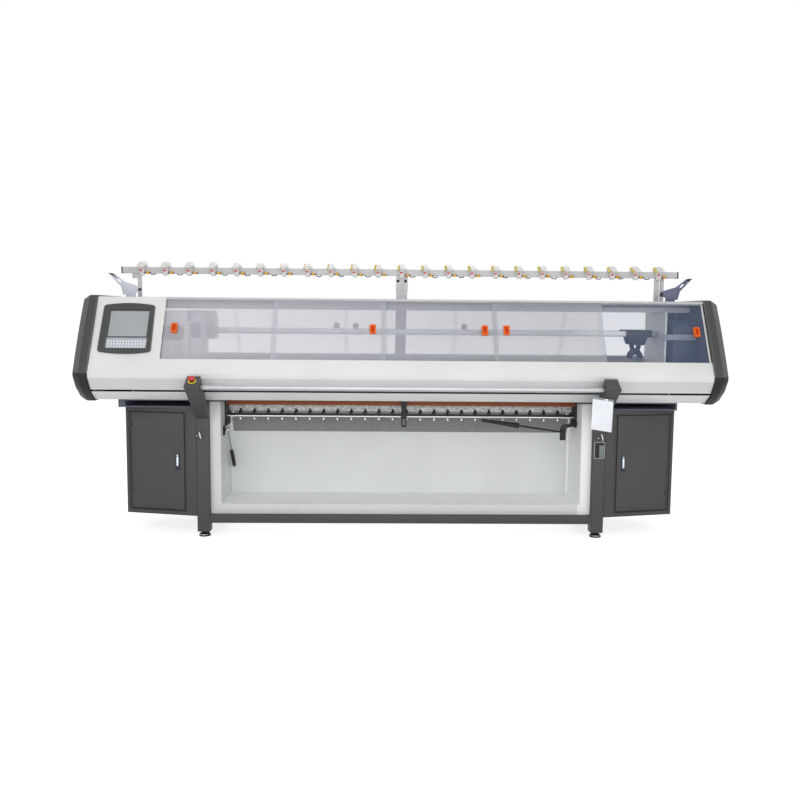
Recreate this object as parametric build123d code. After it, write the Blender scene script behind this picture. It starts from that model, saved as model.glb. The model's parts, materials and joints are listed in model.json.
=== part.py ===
from build123d import *
import math
import os

# Flat knitting machine, in millimetres. X runs along the needle beds to the viewer's right,
# Y towards the back and Z up. Parts are drawn about the plane between the needle beds and
# moved at the end, so that the origin is on the floor under the middle of the outer size.

# Cover section, given for the front half and mirrored for the back
OVERALL_LENGTH = 3800.0
CAP_WIDTH = 90.5
CAP_RIM = 9.0
CAP_BULGE = 9.0
CAP_BEVEL_ALONG = 42.0
CAP_BEVEL_IN = 26.0
CAP_WALL = 6.0
SLOPE_RUN = 242.0
ROOF_SPACE = 77.0
PANEL_LIP = 29.0
COVER_SPACE = 180.0
PROFILE_HEIGHT = 71.0
PANEL_FOOT_IN = 3.0
SKIRT_SPACE = 12.0
RAIL_FOOT_IN = 52.0
SKIRT_HEIGHT = 53.0
SKIRT_TOP_IN = 62.0
SKIRT_LIFT = 3.0
SKIRT_IN = 136.0
SKIRT_LIP = 22.0
BRACKET_LIFT = 8.0
BRACKET_INSET = 237.5
BRACKET_COUNT = 5
BRACKET_THICKNESS = 6.0
SHEET = 2.0
ROOF_PLATE = 6.0
RAIL_SECTION = 18.0
RAIL_GROOVES = 4
RAIL_GROOVE = 2.5

# Sliding windows: sheets in two tracks, the inner one for the odd windows
WINDOW_INSET = 402.5
WINDOW_COUNT = 5
PANEL_LENGTH = 93.0
WINDOW_SHEET = 4.0
TRACK_FIN = 2.0
TRACK_GROOVE = 7.0
TRACK_GRIP = 14.0
PANEL_LAP = 12.0
TRACK_BASE = 4.0
SEAT_GAP = 0.3
SEAM_SHIFTS = (7.0, 6.0, 25.0, 12.0)
SEAM_LAP = 15.0
PULL_WIDTH = 37.0
PULL_LENGTH = 62.0
PULL_PROUD = 7.0
PULL_DOWN = 206.0
PULL_INSET = 64.0
PULL_WALL = 8.0

# Control terminal on the front panel
TERMINAL_INSET = 194.0
TERMINAL_DOWN = 214.0
BEZEL_WIDTH = 309.0
BEZEL_HEIGHT = 304.0
BEZEL_ARCH = 15.0
BEZEL_CORNER = 16.0
BEZEL_PROUD = 12.0
SCREEN_WIDTH = 237.0
SCREEN_HEIGHT = 182.0
KEYPAD_HEIGHT = 62.0
KEYPAD_BAR = 10.0
OPENING_SHIFT_X = 7.0
OPENING_SHIFT_UP = -6.0
SCREEN_PROUD = 4.0
KEY_RAISE = 1.2
TERMINAL_DEPTH = 40.0

# Frame under the cover
LEG_WIDTH = 76.0
LEG_OUT = 20.0
LEG_WALL = 3.0
LEG_DROP = 63.0
HOOK_DROP = 69.0
FOOT_HEIGHT = 32.0
FOOT_RADIUS = 48.0
FOOT_SIDE_COUNT = 12
STEM_RADIUS = 10.0
SOLE_PLATE = 8.0
BEAM_LOW = 86.0
BEAM_HIGH = 136.0
BEAM_DEPTH = 52.0
CARRIER_LOW = 782.0
CARRIER_HEIGHT = 48.0
CARRIER_INSET = 119.5
CARRIER_SHELF = 12.0
CARRIER_SHELF_REACH = 28.0
BED_BEAM_HEIGHT = 40.0
BED_BEAM_WIDTH = 100.0
BULKHEAD = 12.0

# Power switch on the right leg
SWITCH_WIDTH = 66.0
SWITCH_HEIGHT = 103.0
SWITCH_RIM = 5.0
SWITCH_DROP = 240.0
SWITCH_PROUD = 10.0
SWITCH_FLOOR = 2.0
ROCKER_WIDTH = 24.0
ROCKER_HALF = 33.0
ROCKER_THICK = 4.5
ROCKER_TILT = 5.0
ROCKER_DOWN = -10.0
ROCKER_SIDE = -14.0
ROCKER_PIN = 1.2
METER_SIDE = 14.0

# Console arms, start bar and stop button
NOSE_REACH = 152.0
NOSE_RISE = 151.0
ARM_BACK_REACH = 52.0
ARM_BACK_RISE = 55.0
BAR_RADIUS = 13.0
BAR_REACH = 80.0
BAR_DROP = 7.0
BAR_END_GAP = 10.0
JOURNAL_RADIUS = 8.0
JOURNAL_LENGTH = 24.0
RUNNING_GAP = 0.05
BUTTON_RADIUS = 20.5
BUTTON_HEIGHT = 15.0
BUTTON_TRAVEL = 4.0
RING_RADIUS = 24.0
RING_HEIGHT = 3.0
COLLAR_RADIUS = 14.0
COLLAR_HEIGHT = 12.0
BUTTON_STEM = 5.0
BUTTON_SIDE_COUNT = 20

# Document pouch on the start bar
POUCH_WIDTH = 122.0
POUCH_HEIGHT = 184.0

# Fabric bin
BIN_WALL = 3.0
POST_WIDTH = 64.0
BIN_IN = 35.0
BIN_BACK = 66.0
BIN_FLOOR = 196.0
BIN_LEAN_HEIGHT = 100.0
BIN_TOP_DROP = 76.0
BIN_LEAN = 52.0
BIN_HOLE = 4.5
BIN_HOLES = ((-165.0, 380.0), (36.0, 189.0), (-153.0, 189.0), (52.0, 64.0), (-155.0, 66.0))
POST_DEPTH = 45.0

# Side cabinets
CABINET_INSET = 138.5
CABINET_WIDTH = 443.0
CABINET_LOW = 128.0
CABINET_SLANT = 99.0
CABINET_BACK_IN = 38.0
CABINET_WALL = 3.0
DOOR_START = 75.0
DOOR_MARGIN = 37.0
DOOR_SILL = 32.0
DOOR_HEAD = 34.0
DOOR_GAP = 2.0
DOOR_DEPTH = 18.0
RACK_PLATE = 4.0
RACK_DEPTH = 110.0
RACK_MARGIN = 40.0
RACK_SPACE = 30.0
RACK_EDGE = 60.0
RACK_ROWS = 3
KNUCKLE_RADIUS = 4.0
KNUCKLE_PIN = 1.6
KNUCKLE_LENGTH = 30.0
LATCH_WIDTH = 28.0
LATCH_HEIGHT = 98.0
LATCH_DOWN = 246.0
LATCH_INSET = 32.0
LATCH_POCKET = 12.0
LATCH_AXIS = -2.0
LATCH_DROP = 6.0
LATCH_PIN = 1.5

# Needle beds, castings and carriage rails
BED_INSET = 440.0
BED_REACH = 177.0
BED_LIFT = 29.0
BED_GAP = 12.0
BED_SIDE_GAP = 17.0
BED_THICK = 24.0
SLOT_PITCH = 125.0
SLOT_DEPTH = 3.0
SLOT_WIDTH = 6.0
RAIL_IN = 36.0
RAIL_WIDTH = 32.0
RAIL_HEIGHT = 32.0
LEDGE_HEIGHT = 60.0
END_PLATE_INSET = 209.5
END_PLATE = 12.0
HOUSING_LENGTH = 147.5
HOUSING_RISE = 25.0
TOP_BEAM_HEIGHT = 32.0
TOP_BEAM_DROP = 34.0
TOP_BEAM_HALF = 60.0
TOP_BEAM_WEB = 16.0

# Yarn rails and yarn carriers
YARN_RAIL_RISE = 144.0
YARN_RAIL_HEIGHT = 34.0
YARN_RAIL_THICK = 12.0
YARN_RAIL_PLACES = (-75.0, -25.0, 25.0, 75.0)
FEEDER_INSET = 122.0
FEEDER_WIDTH = 156.0
FEEDER_GAP = 0.3
FEEDER_PLATE = 10.0
FORK_RISE = 60.0

# Carriage
CARRIAGE_INSET = 25.0
COVER_LENGTH = 305.0
BRIDGE_LENGTH = 75.0
TUNNEL_HALF = 108.0
TUNNEL_RISE = 34.0
BRIDGE_RISE = 72.0
COVER_RISE = 12.0
COVER_SLANT_HEIGHT = 110.0
COVER_SLANT_DEPTH = 42.0
BRIDGE_IN = 38.0
BRIDGE_HEIGHT = 180.0
CAM_START = 42.0
CAM_MARGIN = 12.0
CAM_GAP = 3.0
CAM_HEIGHT = 100.0
RUNNER_GAP = 0.3
RUNNER_RISE = 55.0

# Takedown
ROLLER_RADIUS = 30.0
ROLLER_DROP = 16.0
NIP_GAP = 0.4
ROLLER_JOURNAL = 10.0
BRACKET_FRONT = -150.0
BRACKET_BACK = 90.0
BRACKET_DROP = 111.0
BRACKET_THICK = 12.0
PRESSER_Y = -128.0
PRESSER_DROP = 50.0
PRESSER_RADIUS = 7.0
HOOK_PITCH = 85.5
HOOK_MARGIN = 90.0
HOOK_SHIFT = -12.0
HOOK_WIDTH = 10.0
CENTRE_BRACKET_X = 14.0
CENTRE_BRACKET_WIDTH = 33.0
CENTRE_BRACKET_REACH = 36.0
GUIDE_RISE = 20.0
GUIDE_HEIGHT = 26.0

# Hand levers
LEVER_LEFT_Y = -190.0
LEVER_LEFT_DROP = 130.0
LEVER_LEFT_TURN = 40.0
LEVER_LENGTH = 190.0
GRIP_LENGTH = 150.0
LEVER_PIN = 7.0
LEVER_ROD = 6.0
LEVER_EYE = 14.0
LEVER_BOSS = 8.0
GRIP_RADIUS = 12.0
LEVER_RIGHT_INSET = 88.0
LEVER_RIGHT_Y = -178.0
LEVER_RIGHT_DROP = 136.0
LEVER_RIGHT_RISE = 8.0
LEVER_RIGHT_LENGTH = 280.0
GRIP_RIGHT_LENGTH = 235.0

# Yarn bar above the roof
YARN_BAR_Y = 120.0
YARN_BAR_RISE = 173.0
YARN_BAR_SIZE = 40.0
YARN_BAR_INSET = 44.5
POST_INSET = 146.5
MIDDLE_POST_WIDTH = 70.0
BAR_BRACKET_HEIGHT = 98.0
UNIT_MARGIN = 100.0
UNIT_PITCH = 149.0
UNIT_WIDTH = 30.0
UNIT_FRONT = 50.0
TENSION_Y = -38.0
TENSION_Z = -16.0
GUIDE_SHEET = 4.0
GUIDE_Y = -62.0

# Places along X, worked out from the overall length
END_X = OVERALL_LENGTH / 2
COVER_X = END_X - CAP_WIDTH
BULK_X = COVER_X - BULKHEAD
WINDOW_LEFT = -COVER_X + WINDOW_INSET
TERMINAL_X = -COVER_X + TERMINAL_INSET
CARRIER_END = COVER_X - CARRIER_INSET
CABINET_OUTER = COVER_X - CABINET_INSET
CABINET_INNER = CABINET_OUTER - CABINET_WIDTH
LEG_INNER = CABINET_INNER - LEG_WIDTH
BIN_INNER = LEG_INNER - POST_WIDTH
END_PLATE_X = COVER_X - END_PLATE_INSET
BED_HALF = END_PLATE_X - BED_INSET
HOUSING_X = BULK_X - HOUSING_LENGTH
FEEDER_X = END_PLATE_X - FEEDER_INSET
CARRIAGE_LEFT = -END_PLATE_X + CARRIAGE_INSET
CARRIAGE_MID = CARRIAGE_LEFT + COVER_LENGTH
CARRIAGE_RIGHT = CARRIAGE_MID + BRIDGE_LENGTH
LEVER_RIGHT_X = BIN_INNER - LEVER_RIGHT_INSET
YARN_BAR_HALF = COVER_X - YARN_BAR_INSET
POST_X = COVER_X - POST_INSET

# Places along Y, worked out from the reach of the needle beds
BED_WIDTH = BED_REACH * math.sqrt(2)
BED_BEAM_IN = BED_GAP / 2 + BED_REACH + BED_SIDE_GAP
BED_BEAM_OUT = BED_BEAM_IN + BED_BEAM_WIDTH
END_PLATE_HALF = BED_BEAM_IN
RAIL_Y = BED_BEAM_OUT - RAIL_IN
CAM_END = BED_WIDTH - CAM_MARGIN
CARRIER_HALF = BED_BEAM_OUT
CARRIER_Y = (-CARRIER_HALF, CARRIER_HALF)
LEG_FRONT = CARRIER_HALF + LEG_OUT
WAIST_HALF = BED_BEAM_OUT + COVER_SPACE
ROOF_HALF = WAIST_HALF - SLOPE_RUN
PANEL_FOOT_HALF = WAIST_HALF - PANEL_FOOT_IN
RAIL_FOOT_HALF = WAIST_HALF - RAIL_FOOT_IN
SKIRT_TOP_HALF = WAIST_HALF - SKIRT_TOP_IN
SKIRT_HALF = WAIST_HALF - SKIRT_IN
NOSE_Y = WAIST_HALF + NOSE_REACH
ARM_BACK_Y = WAIST_HALF + ARM_BACK_REACH
BAR_Y = -WAIST_HALF - BAR_REACH
BIN_FRONT = BIN_IN - LEG_FRONT
CABINET_OUTER_Y = CABINET_SLANT - LEG_FRONT
CABINET_BACK = CARRIER_HALF - CABINET_BACK_IN
DOOR_END = math.hypot(CABINET_WIDTH, CABINET_SLANT) - DOOR_MARGIN
FRAME_SHIFT = (NOSE_Y - WAIST_HALF - CAP_RIM) / 2

# Heights, worked out from the underside of the carriers
CARRIER_HIGH = CARRIER_LOW + CARRIER_HEIGHT
POST_TOP = CARRIER_HIGH - CARRIER_SHELF
LEG_TOP = CARRIER_LOW - LEG_DROP
SWITCH_Z = CARRIER_LOW - SWITCH_DROP
DOOR_LOW = CABINET_LOW + DOOR_SILL
DOOR_HIGH = CARRIER_LOW - DOOR_HEAD
NOSE_Z = CARRIER_LOW + NOSE_RISE
ARM_BACK_Z = NOSE_Z + ARM_BACK_RISE
BAR_Z = NOSE_Z - BAR_DROP
BED_BEAM_HIGH = CARRIER_HIGH + BED_BEAM_HEIGHT
SKIRT_Z = CARRIER_HIGH + SKIRT_LIFT
SKIRT_TOP_Z = SKIRT_Z + SKIRT_HEIGHT
RAIL_FOOT_Z = SKIRT_TOP_Z + SKIRT_SPACE
PANEL_FOOT_Z = RAIL_FOOT_Z + PROFILE_HEIGHT
WAIST_Z = PANEL_FOOT_Z + PANEL_LIP
LEDGE_HIGH = BED_BEAM_HIGH + LEDGE_HEIGHT
RUNNER_TOP = LEDGE_HIGH + RUNNER_RISE
BED_CREST_Z = BED_BEAM_HIGH + BED_LIFT + BED_REACH
YARN_RAIL_LOW = BED_CREST_Z + YARN_RAIL_RISE
YARN_RAIL_HIGH = YARN_RAIL_LOW + YARN_RAIL_HEIGHT
TUNNEL_TOP = YARN_RAIL_HIGH + TUNNEL_RISE
COVER_TOP = TUNNEL_TOP + COVER_RISE
BRIDGE_TOP = TUNNEL_TOP + BRIDGE_RISE
HOUSING_TOP = COVER_TOP + HOUSING_RISE
ROOF_Z = BRIDGE_TOP + ROOF_SPACE
TOP_BEAM_HIGH = ROOF_Z - TOP_BEAM_DROP
TOP_BEAM_LOW = TOP_BEAM_HIGH - TOP_BEAM_HEIGHT
YARN_BAR_Z = ROOF_Z + YARN_BAR_RISE
ROLLER_Z = CARRIER_LOW - ROLLER_DROP
BRACKET_LOW = ROLLER_Z - BRACKET_DROP
PRESSER_Z = ROLLER_Z - PRESSER_DROP
BIN_TOP_BACK = ROLLER_Z - BIN_TOP_DROP
BIN_BEND = BIN_TOP_BACK - BIN_LEAN_HEIGHT
LEVER_LEFT_Z = ROLLER_Z - LEVER_LEFT_DROP
LEVER_RIGHT_Z = ROLLER_Z - LEVER_RIGHT_DROP

# Direction and length of the sloping front, and the layers of the window tracks behind it
SLOPE_DROP = ROOF_Z - WAIST_Z
SLOPE_LENGTH = math.hypot(SLOPE_RUN, SLOPE_DROP)
SLOPE_Y = -SLOPE_RUN / SLOPE_LENGTH
SLOPE_Z = -SLOPE_DROP / SLOPE_LENGTH
WINDOW_DOWN = SLOPE_LENGTH - PANEL_LENGTH
TRACK_FLOOR = WINDOW_DOWN + PANEL_LAP
OUTER_SHEET = -(TRACK_FIN + (TRACK_GROOVE - WINDOW_SHEET) / 2)
INNER_SHEET = OUTER_SHEET - TRACK_GROOVE - TRACK_FIN
TRACK_DEPTH = 3 * TRACK_FIN + 2 * TRACK_GROOVE


def block(x, y, z):
    """Box between the low and high values given for each axis."""
    size = (x[1] - x[0], y[1] - y[0], z[1] - z[0])
    centre = ((x[0] + x[1]) / 2, (y[0] + y[1]) / 2, (z[0] + z[1]) / 2)
    return Pos(*centre) * Box(*size)


def outline(points, radius=0.0):
    """Closed sketch through points, with every corner rounded if a radius is given."""
    sketch = Polygon(*points, align=None)
    if radius:
        sketch = fillet(sketch.vertices(), radius)
    return sketch


def along_x(sketch, low, high):
    """Draw a sketch of (y, z) points out from one x to another."""
    return extrude(Plane.YZ.offset(low) * sketch, high - low, dir=(1, 0, 0))


def along_y(sketch, low, high):
    """Draw a sketch of (x, z) points out from one y to another."""
    plane = Plane((0, low, 0), x_dir=(1, 0, 0), z_dir=(0, -1, 0))
    return extrude(plane * sketch, high - low, dir=(0, 1, 0))


def upright(points, low, high):
    """Prism between two heights over a plan given as (x, y) points."""
    return extrude(Pos(0, 0, low) * outline(points), high - low, dir=(0, 0, 1))


def raised(plane, sketch, height):
    """Draw a sketch on a plane out along the plane's normal."""
    return extrude(plane * sketch, height, dir=plane.z_dir)


def rod_x(y, z, radius, low, high):
    """Round bar along X."""
    return along_x(Pos(y, z) * Circle(radius), low, high)


def spun(points, flats):
    """Solid of (radius, height) rings stacked along Z, with flats in place of circles."""
    solid = None
    for (low, start), (high, end) in zip(points, points[1:]):
        drop = (low - high) * math.cos(math.pi / flats)
        taper = math.degrees(math.atan2(drop, end - start))
        ring = Pos(0, 0, start) * RegularPolygon(low, flats)
        layer = extrude(ring, end - start, dir=(0, 0, 1), taper=taper)
        solid = layer if solid is None else solid + layer
    return solid


def stub_x(y, z, radius, low, high, flats=6):
    """Short round piece along X, with flats in place of a full circle."""
    return along_x(Pos(y, z) * RegularPolygon(radius, flats), low, high)


def bore_outline(radius):
    """Twelve-sided bore for a round pin of the given radius, with a running fit."""
    return RegularPolygon(radius + RUNNING_GAP, 12, major_radius=False)


def bore_x(y, z, radius, low, high):
    """Bore along X for a round pin of the given radius."""
    return along_x(Pos(y, z) * bore_outline(radius), low, high)


def sides(part):
    """A right-hand piece and its mirror image on the left."""
    return [mirror(part, Plane.YZ), part]


def front_and_back(part):
    """A front piece and its mirror image at the back."""
    return [part, mirror(part, Plane.XZ)]


def evenly(reach, count):
    """Evenly spaced values from -reach to reach."""
    return [reach * (2 * number / (count - 1) - 1) for number in range(count)]


def on_slope(down, out):
    """Point (y, z) on the sloping front, from its top edge down and outwards."""
    return (
        -ROOF_HALF + down * SLOPE_Y + out * SLOPE_Z,
        ROOF_Z + down * SLOPE_Z - out * SLOPE_Y,
    )


def slope_strip(down, out, low, high):
    """Flat strip parallel to the sloping front."""
    corners = [on_slope(down[0], out[0]), on_slope(down[1], out[0])]
    corners += [on_slope(down[1], out[1]), on_slope(down[0], out[1])]
    return along_x(outline(corners), low, high)


def slope_plane(x, down, out=0.0):
    """Plane on the sloping front, its y axis up the slope and its normal outwards."""
    y, z = on_slope(down, out)
    return Plane((x, y, z), x_dir=(1, 0, 0), z_dir=(0, SLOPE_Z, -SLOPE_Y))


def cover_outline(bulge=0.0):
    """Outline of the whole cover section, its slopes bowed outwards by the bulge."""
    lower = [
        (-WAIST_HALF, WAIST_Z),
        (-PANEL_FOOT_HALF, PANEL_FOOT_Z),
        (-RAIL_FOOT_HALF, RAIL_FOOT_Z),
        (-SKIRT_HALF, SKIRT_Z),
        (SKIRT_HALF, SKIRT_Z),
        (RAIL_FOOT_HALF, RAIL_FOOT_Z),
        (PANEL_FOOT_HALF, PANEL_FOOT_Z),
        (WAIST_HALF, WAIST_Z),
    ]
    bow = on_slope(SLOPE_LENGTH / 2, bulge)
    if not bulge:
        return outline([(-ROOF_HALF, ROOF_Z)] + lower + [(ROOF_HALF, ROOF_Z)])
    front = ThreePointArc((-ROOF_HALF, ROOF_Z), bow, lower[0])
    back = ThreePointArc(lower[-1], (-bow[0], bow[1]), (ROOF_HALF, ROOF_Z))
    under = Polyline(*lower)
    top = Line((ROOF_HALF, ROOF_Z), (-ROOF_HALF, ROOF_Z))
    return make_face([front, under.edges(), back, top])


def end_cap():
    """Right end cap: a moulding with a bevelled outer edge, open towards the machine."""
    section = offset(cover_outline(CAP_BULGE), CAP_RIM, kind=Kind.INTERSECTION)
    straight = CAP_WIDTH - CAP_BEVEL_ALONG
    taper = math.degrees(math.atan(CAP_BEVEL_IN / CAP_BEVEL_ALONG))
    cap = along_x(section, COVER_X, COVER_X + straight)
    bevel_plane = Plane.YZ.offset(COVER_X + straight)
    cap += extrude(bevel_plane * section, CAP_BEVEL_ALONG, dir=(1, 0, 0), taper=taper)
    hollow = offset(cover_outline(), -CAP_WALL, kind=Kind.INTERSECTION)
    return cap - along_x(hollow, COVER_X, COVER_X + straight)


def bulkhead():
    """Right end wall that carries the cap, inside the window tracks."""
    wall = offset(cover_outline(), -TRACK_DEPTH - SHEET, kind=Kind.INTERSECTION)
    return along_x(wall, BULK_X, COVER_X)


def panel_strip(low, high):
    """Lower part of the cover panel: end of the slope and the upright lip under it."""
    corners = [
        on_slope(WINDOW_DOWN, 0),
        (-WAIST_HALF, WAIST_Z),
        (-PANEL_FOOT_HALF, PANEL_FOOT_Z),
        (-PANEL_FOOT_HALF + SHEET, PANEL_FOOT_Z),
        (-WAIST_HALF - SHEET / SLOPE_Z, WAIST_Z),
        on_slope(WINDOW_DOWN, -SHEET),
    ]
    return along_x(outline(corners), low, high)


def front_panel():
    """White front panel with the wide left field that holds the control terminal."""
    panel = panel_strip(-COVER_X, COVER_X)
    panel += slope_strip((0, WINDOW_DOWN), (-SHEET, 0), -COVER_X, WINDOW_LEFT)
    plane = slope_plane(TERMINAL_X + OPENING_SHIFT_X, TERMINAL_DOWN - OPENING_SHIFT_UP)
    opening = Rectangle(SCREEN_WIDTH, SCREEN_HEIGHT + KEYPAD_HEIGHT + KEYPAD_BAR)
    return panel - extrude(plane * opening, SHEET * 2, both=True)


def rear_panel():
    """White rear panel below the rear windows."""
    return mirror(panel_strip(-COVER_X, COVER_X), Plane.XZ)


def cover_rail():
    """Grooved aluminium profile under the front panel."""
    top = (-PANEL_FOOT_HALF, PANEL_FOOT_Z)
    foot = (-RAIL_FOOT_HALF, RAIL_FOOT_Z)
    run = math.dist(top, foot)
    along = ((foot[0] - top[0]) / run, (foot[1] - top[1]) / run)
    corners = [top, foot, (foot[0] + RAIL_SECTION, foot[1]), (top[0] + RAIL_SECTION, top[1])]
    rail = along_x(outline(corners), -COVER_X, COVER_X)
    for number in range(RAIL_GROOVES):
        reach = run * (number + 1) / (RAIL_GROOVES + 1)
        centre = (top[0] + along[0] * reach, top[1] + along[1] * reach)
        notch = Pos(*centre) * Rectangle(2 * RAIL_GROOVE, RAIL_GROOVE)
        rail -= along_x(notch, -COVER_X, COVER_X)
    return rail


def skirt():
    """White panel along the bottom of the cover, with an inward lip."""
    slope = math.atan2(SKIRT_TOP_Z - SKIRT_Z, SKIRT_TOP_HALF - SKIRT_HALF)
    inset = SHEET / math.sin(slope)
    corners = [
        (-SKIRT_TOP_HALF, SKIRT_TOP_Z),
        (-SKIRT_HALF, SKIRT_Z),
        (-SKIRT_HALF + SKIRT_LIP, SKIRT_Z),
        (-SKIRT_HALF + SKIRT_LIP, SKIRT_Z + SHEET),
        (-SKIRT_HALF + inset - SHEET / math.tan(slope), SKIRT_Z + SHEET),
        (-SKIRT_TOP_HALF + inset, SKIRT_TOP_Z),
    ]
    return along_x(outline(corners), -COVER_X, COVER_X)


def cover_bracket(x):
    """Sheet bracket that ties the cover's profile and skirt to the front bed beam."""
    slope = math.atan2(SKIRT_TOP_Z - SKIRT_Z, SKIRT_TOP_HALF - SKIRT_HALF)
    inset = SHEET / math.sin(slope)
    level = SKIRT_Z + BRACKET_LIFT
    corners = [
        (-BED_BEAM_OUT, level),
        (-SKIRT_HALF + inset - BRACKET_LIFT / math.tan(slope), level),
        (-SKIRT_TOP_HALF + inset, SKIRT_TOP_Z),
        (-RAIL_FOOT_HALF + RAIL_SECTION, RAIL_FOOT_Z),
        (-PANEL_FOOT_HALF + RAIL_SECTION, PANEL_FOOT_Z),
        (-PANEL_FOOT_HALF + 2 * RAIL_SECTION, PANEL_FOOT_Z),
        (-BED_BEAM_OUT, BED_BEAM_HIGH),
    ]
    half = BRACKET_THICKNESS / 2
    return along_x(outline(corners), x - half, x + half)


def roof():
    """Roof plate with the upper window tracks on both long edges."""
    plate = along_x(
        Pos(0, ROOF_Z - ROOF_PLATE / 2) * Rectangle(2 * ROOF_HALF - 2, ROOF_PLATE),
        -COVER_X,
        COVER_X,
    )
    fins = slope_strip((0, TRACK_GRIP), (-TRACK_FIN, 0), -COVER_X, COVER_X)
    for number in (1, 2):
        depth = number * (TRACK_FIN + TRACK_GROOVE)
        span = (ROOF_PLATE * (1 - number), TRACK_GRIP)
        fins += slope_strip(span, (-depth - TRACK_FIN, -depth), -COVER_X, COVER_X)
    left_field = block((-COVER_X, WINDOW_LEFT), (-WAIST_HALF, 0), (WAIST_Z, ROOF_Z - ROOF_PLATE))
    front = fins - left_field
    left_edge = slope_strip((0, TRACK_GRIP), (-SHEET, 0), -COVER_X, WINDOW_LEFT)
    return plate + front + mirror(fins, Plane.XZ) - left_edge


def lower_track(low):
    """Window track along the top edge of the lower panel."""
    base = slope_strip(
        (TRACK_FLOOR, TRACK_FLOOR + TRACK_BASE), (-TRACK_DEPTH, -SHEET), low, COVER_X
    )
    for number in (1, 2):
        depth = number * (TRACK_FIN + TRACK_GROOVE)
        span = (TRACK_FLOOR - TRACK_GRIP, TRACK_FLOOR + TRACK_BASE)
        base += slope_strip(span, (-depth - TRACK_FIN, -depth), low, COVER_X)
    return base


def window(low, high, inner):
    """One translucent window sheet in the inner or outer track."""
    face = INNER_SHEET if inner else OUTER_SHEET
    span = (TRACK_FIN * 3 + SEAT_GAP, TRACK_FLOOR - SEAT_GAP)
    return slope_strip(span, (face - WINDOW_SHEET, face), low, high)


def window_pull(x, inner):
    """Orange finger pull standing on a window sheet, with a long recess."""
    face = INNER_SHEET if inner else OUTER_SHEET
    plane = slope_plane(x, PULL_DOWN, face)
    height = PULL_PROUD - face
    shape = Rectangle(PULL_WIDTH, PULL_LENGTH)
    shape = chamfer(shape.vertices(), PULL_WALL / 2)
    pull = raised(plane, shape, height)
    hollow = Rectangle(PULL_WIDTH - 2 * PULL_WALL, PULL_LENGTH - 2 * PULL_WALL)
    floor = plane.offset(height - PULL_WALL)
    return pull - raised(floor, hollow, PULL_WALL)


def window_edges(first, shifts):
    """Edges of a row of windows of about equal width, with a shift for each seam."""
    last = COVER_X - SEAT_GAP
    width = (last - first) / WINDOW_COUNT
    seams = [first + width * (number + 1) + shift for number, shift in enumerate(shifts)]
    return [first, *seams, last]


def window_row(edges, pulls_left):
    """Windows between neighbouring edges, with a pull near one end of each."""
    row = []
    for number, pull_left in enumerate(pulls_left):
        inner = number % 2 == 0
        low = edges[number] - (SEAM_LAP if number else 0)
        high = edges[number + 1] + (SEAM_LAP if number + 2 < len(edges) else 0)
        x = edges[number] + PULL_INSET if pull_left else edges[number + 1] - PULL_INSET
        row.append((window(low, high, inner), window_pull(x, inner)))
    return row


def terminal_bezel():
    """Dark frame of the control terminal, its top and bottom edges arched."""
    half, tall = BEZEL_WIDTH / 2, BEZEL_HEIGHT / 2
    top = ThreePointArc((-half + 5, tall), (0, tall + BEZEL_ARCH), (half - 5, tall))
    bottom = ThreePointArc((half, -tall), (0, -tall - BEZEL_ARCH), (-half, -tall))
    right = Line((half - 5, tall), (half, -tall))
    left = Line((-half, -tall), (-half + 5, tall))
    shape = make_face([top, right, bottom, left])
    shape = fillet(shape.vertices(), BEZEL_CORNER)
    plane = slope_plane(TERMINAL_X, TERMINAL_DOWN)
    frame = raised(plane, shape, BEZEL_PROUD)
    rim = frame.faces().sort_by(Axis(plane.origin, plane.z_dir))[-1].edges()
    frame = chamfer(rim, BEZEL_PROUD / 3)
    opening = Rectangle(SCREEN_WIDTH, SCREEN_HEIGHT + KEYPAD_HEIGHT + KEYPAD_BAR)
    place = Pos(OPENING_SHIFT_X, OPENING_SHIFT_UP)
    return frame - raised(plane, place * opening, BEZEL_PROUD)


def terminal_plane(rise):
    """Plane of the terminal's window, shifted up the slope by rise."""
    down = TERMINAL_DOWN - OPENING_SHIFT_UP - rise
    return slope_plane(TERMINAL_X + OPENING_SHIFT_X, down, -SHEET)


def terminal_screen():
    """Display block behind the bezel's window."""
    rise = (KEYPAD_HEIGHT + KEYPAD_BAR) / 2
    size = Rectangle(SCREEN_WIDTH - 2 * SEAT_GAP, SCREEN_HEIGHT - 2 * SEAT_GAP)
    return raised(terminal_plane(rise), size, SHEET + SCREEN_PROUD)


def keypad():
    """Keypad block with a raised bar above its keys."""
    tall = KEYPAD_HEIGHT + KEYPAD_BAR
    plane = terminal_plane(-SCREEN_HEIGHT / 2)
    base = Rectangle(SCREEN_WIDTH - 2 * SEAT_GAP, tall - 2 * SEAT_GAP)
    pad = raised(plane, base, SHEET + SCREEN_PROUD)
    bar = Pos(0, (tall - KEYPAD_BAR) / 2) * Rectangle(SCREEN_WIDTH - 8, KEYPAD_BAR / 2)
    return pad + raised(plane.offset(SHEET + SCREEN_PROUD), bar, KEY_RAISE)


def terminal_box():
    """Back box of the terminal behind the front panel."""
    plane = terminal_plane(0)
    size = Rectangle(SCREEN_WIDTH + 24, SCREEN_HEIGHT + KEYPAD_HEIGHT + 32)
    return raised(plane.offset(-TERMINAL_DEPTH), size, TERMINAL_DEPTH)


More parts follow.
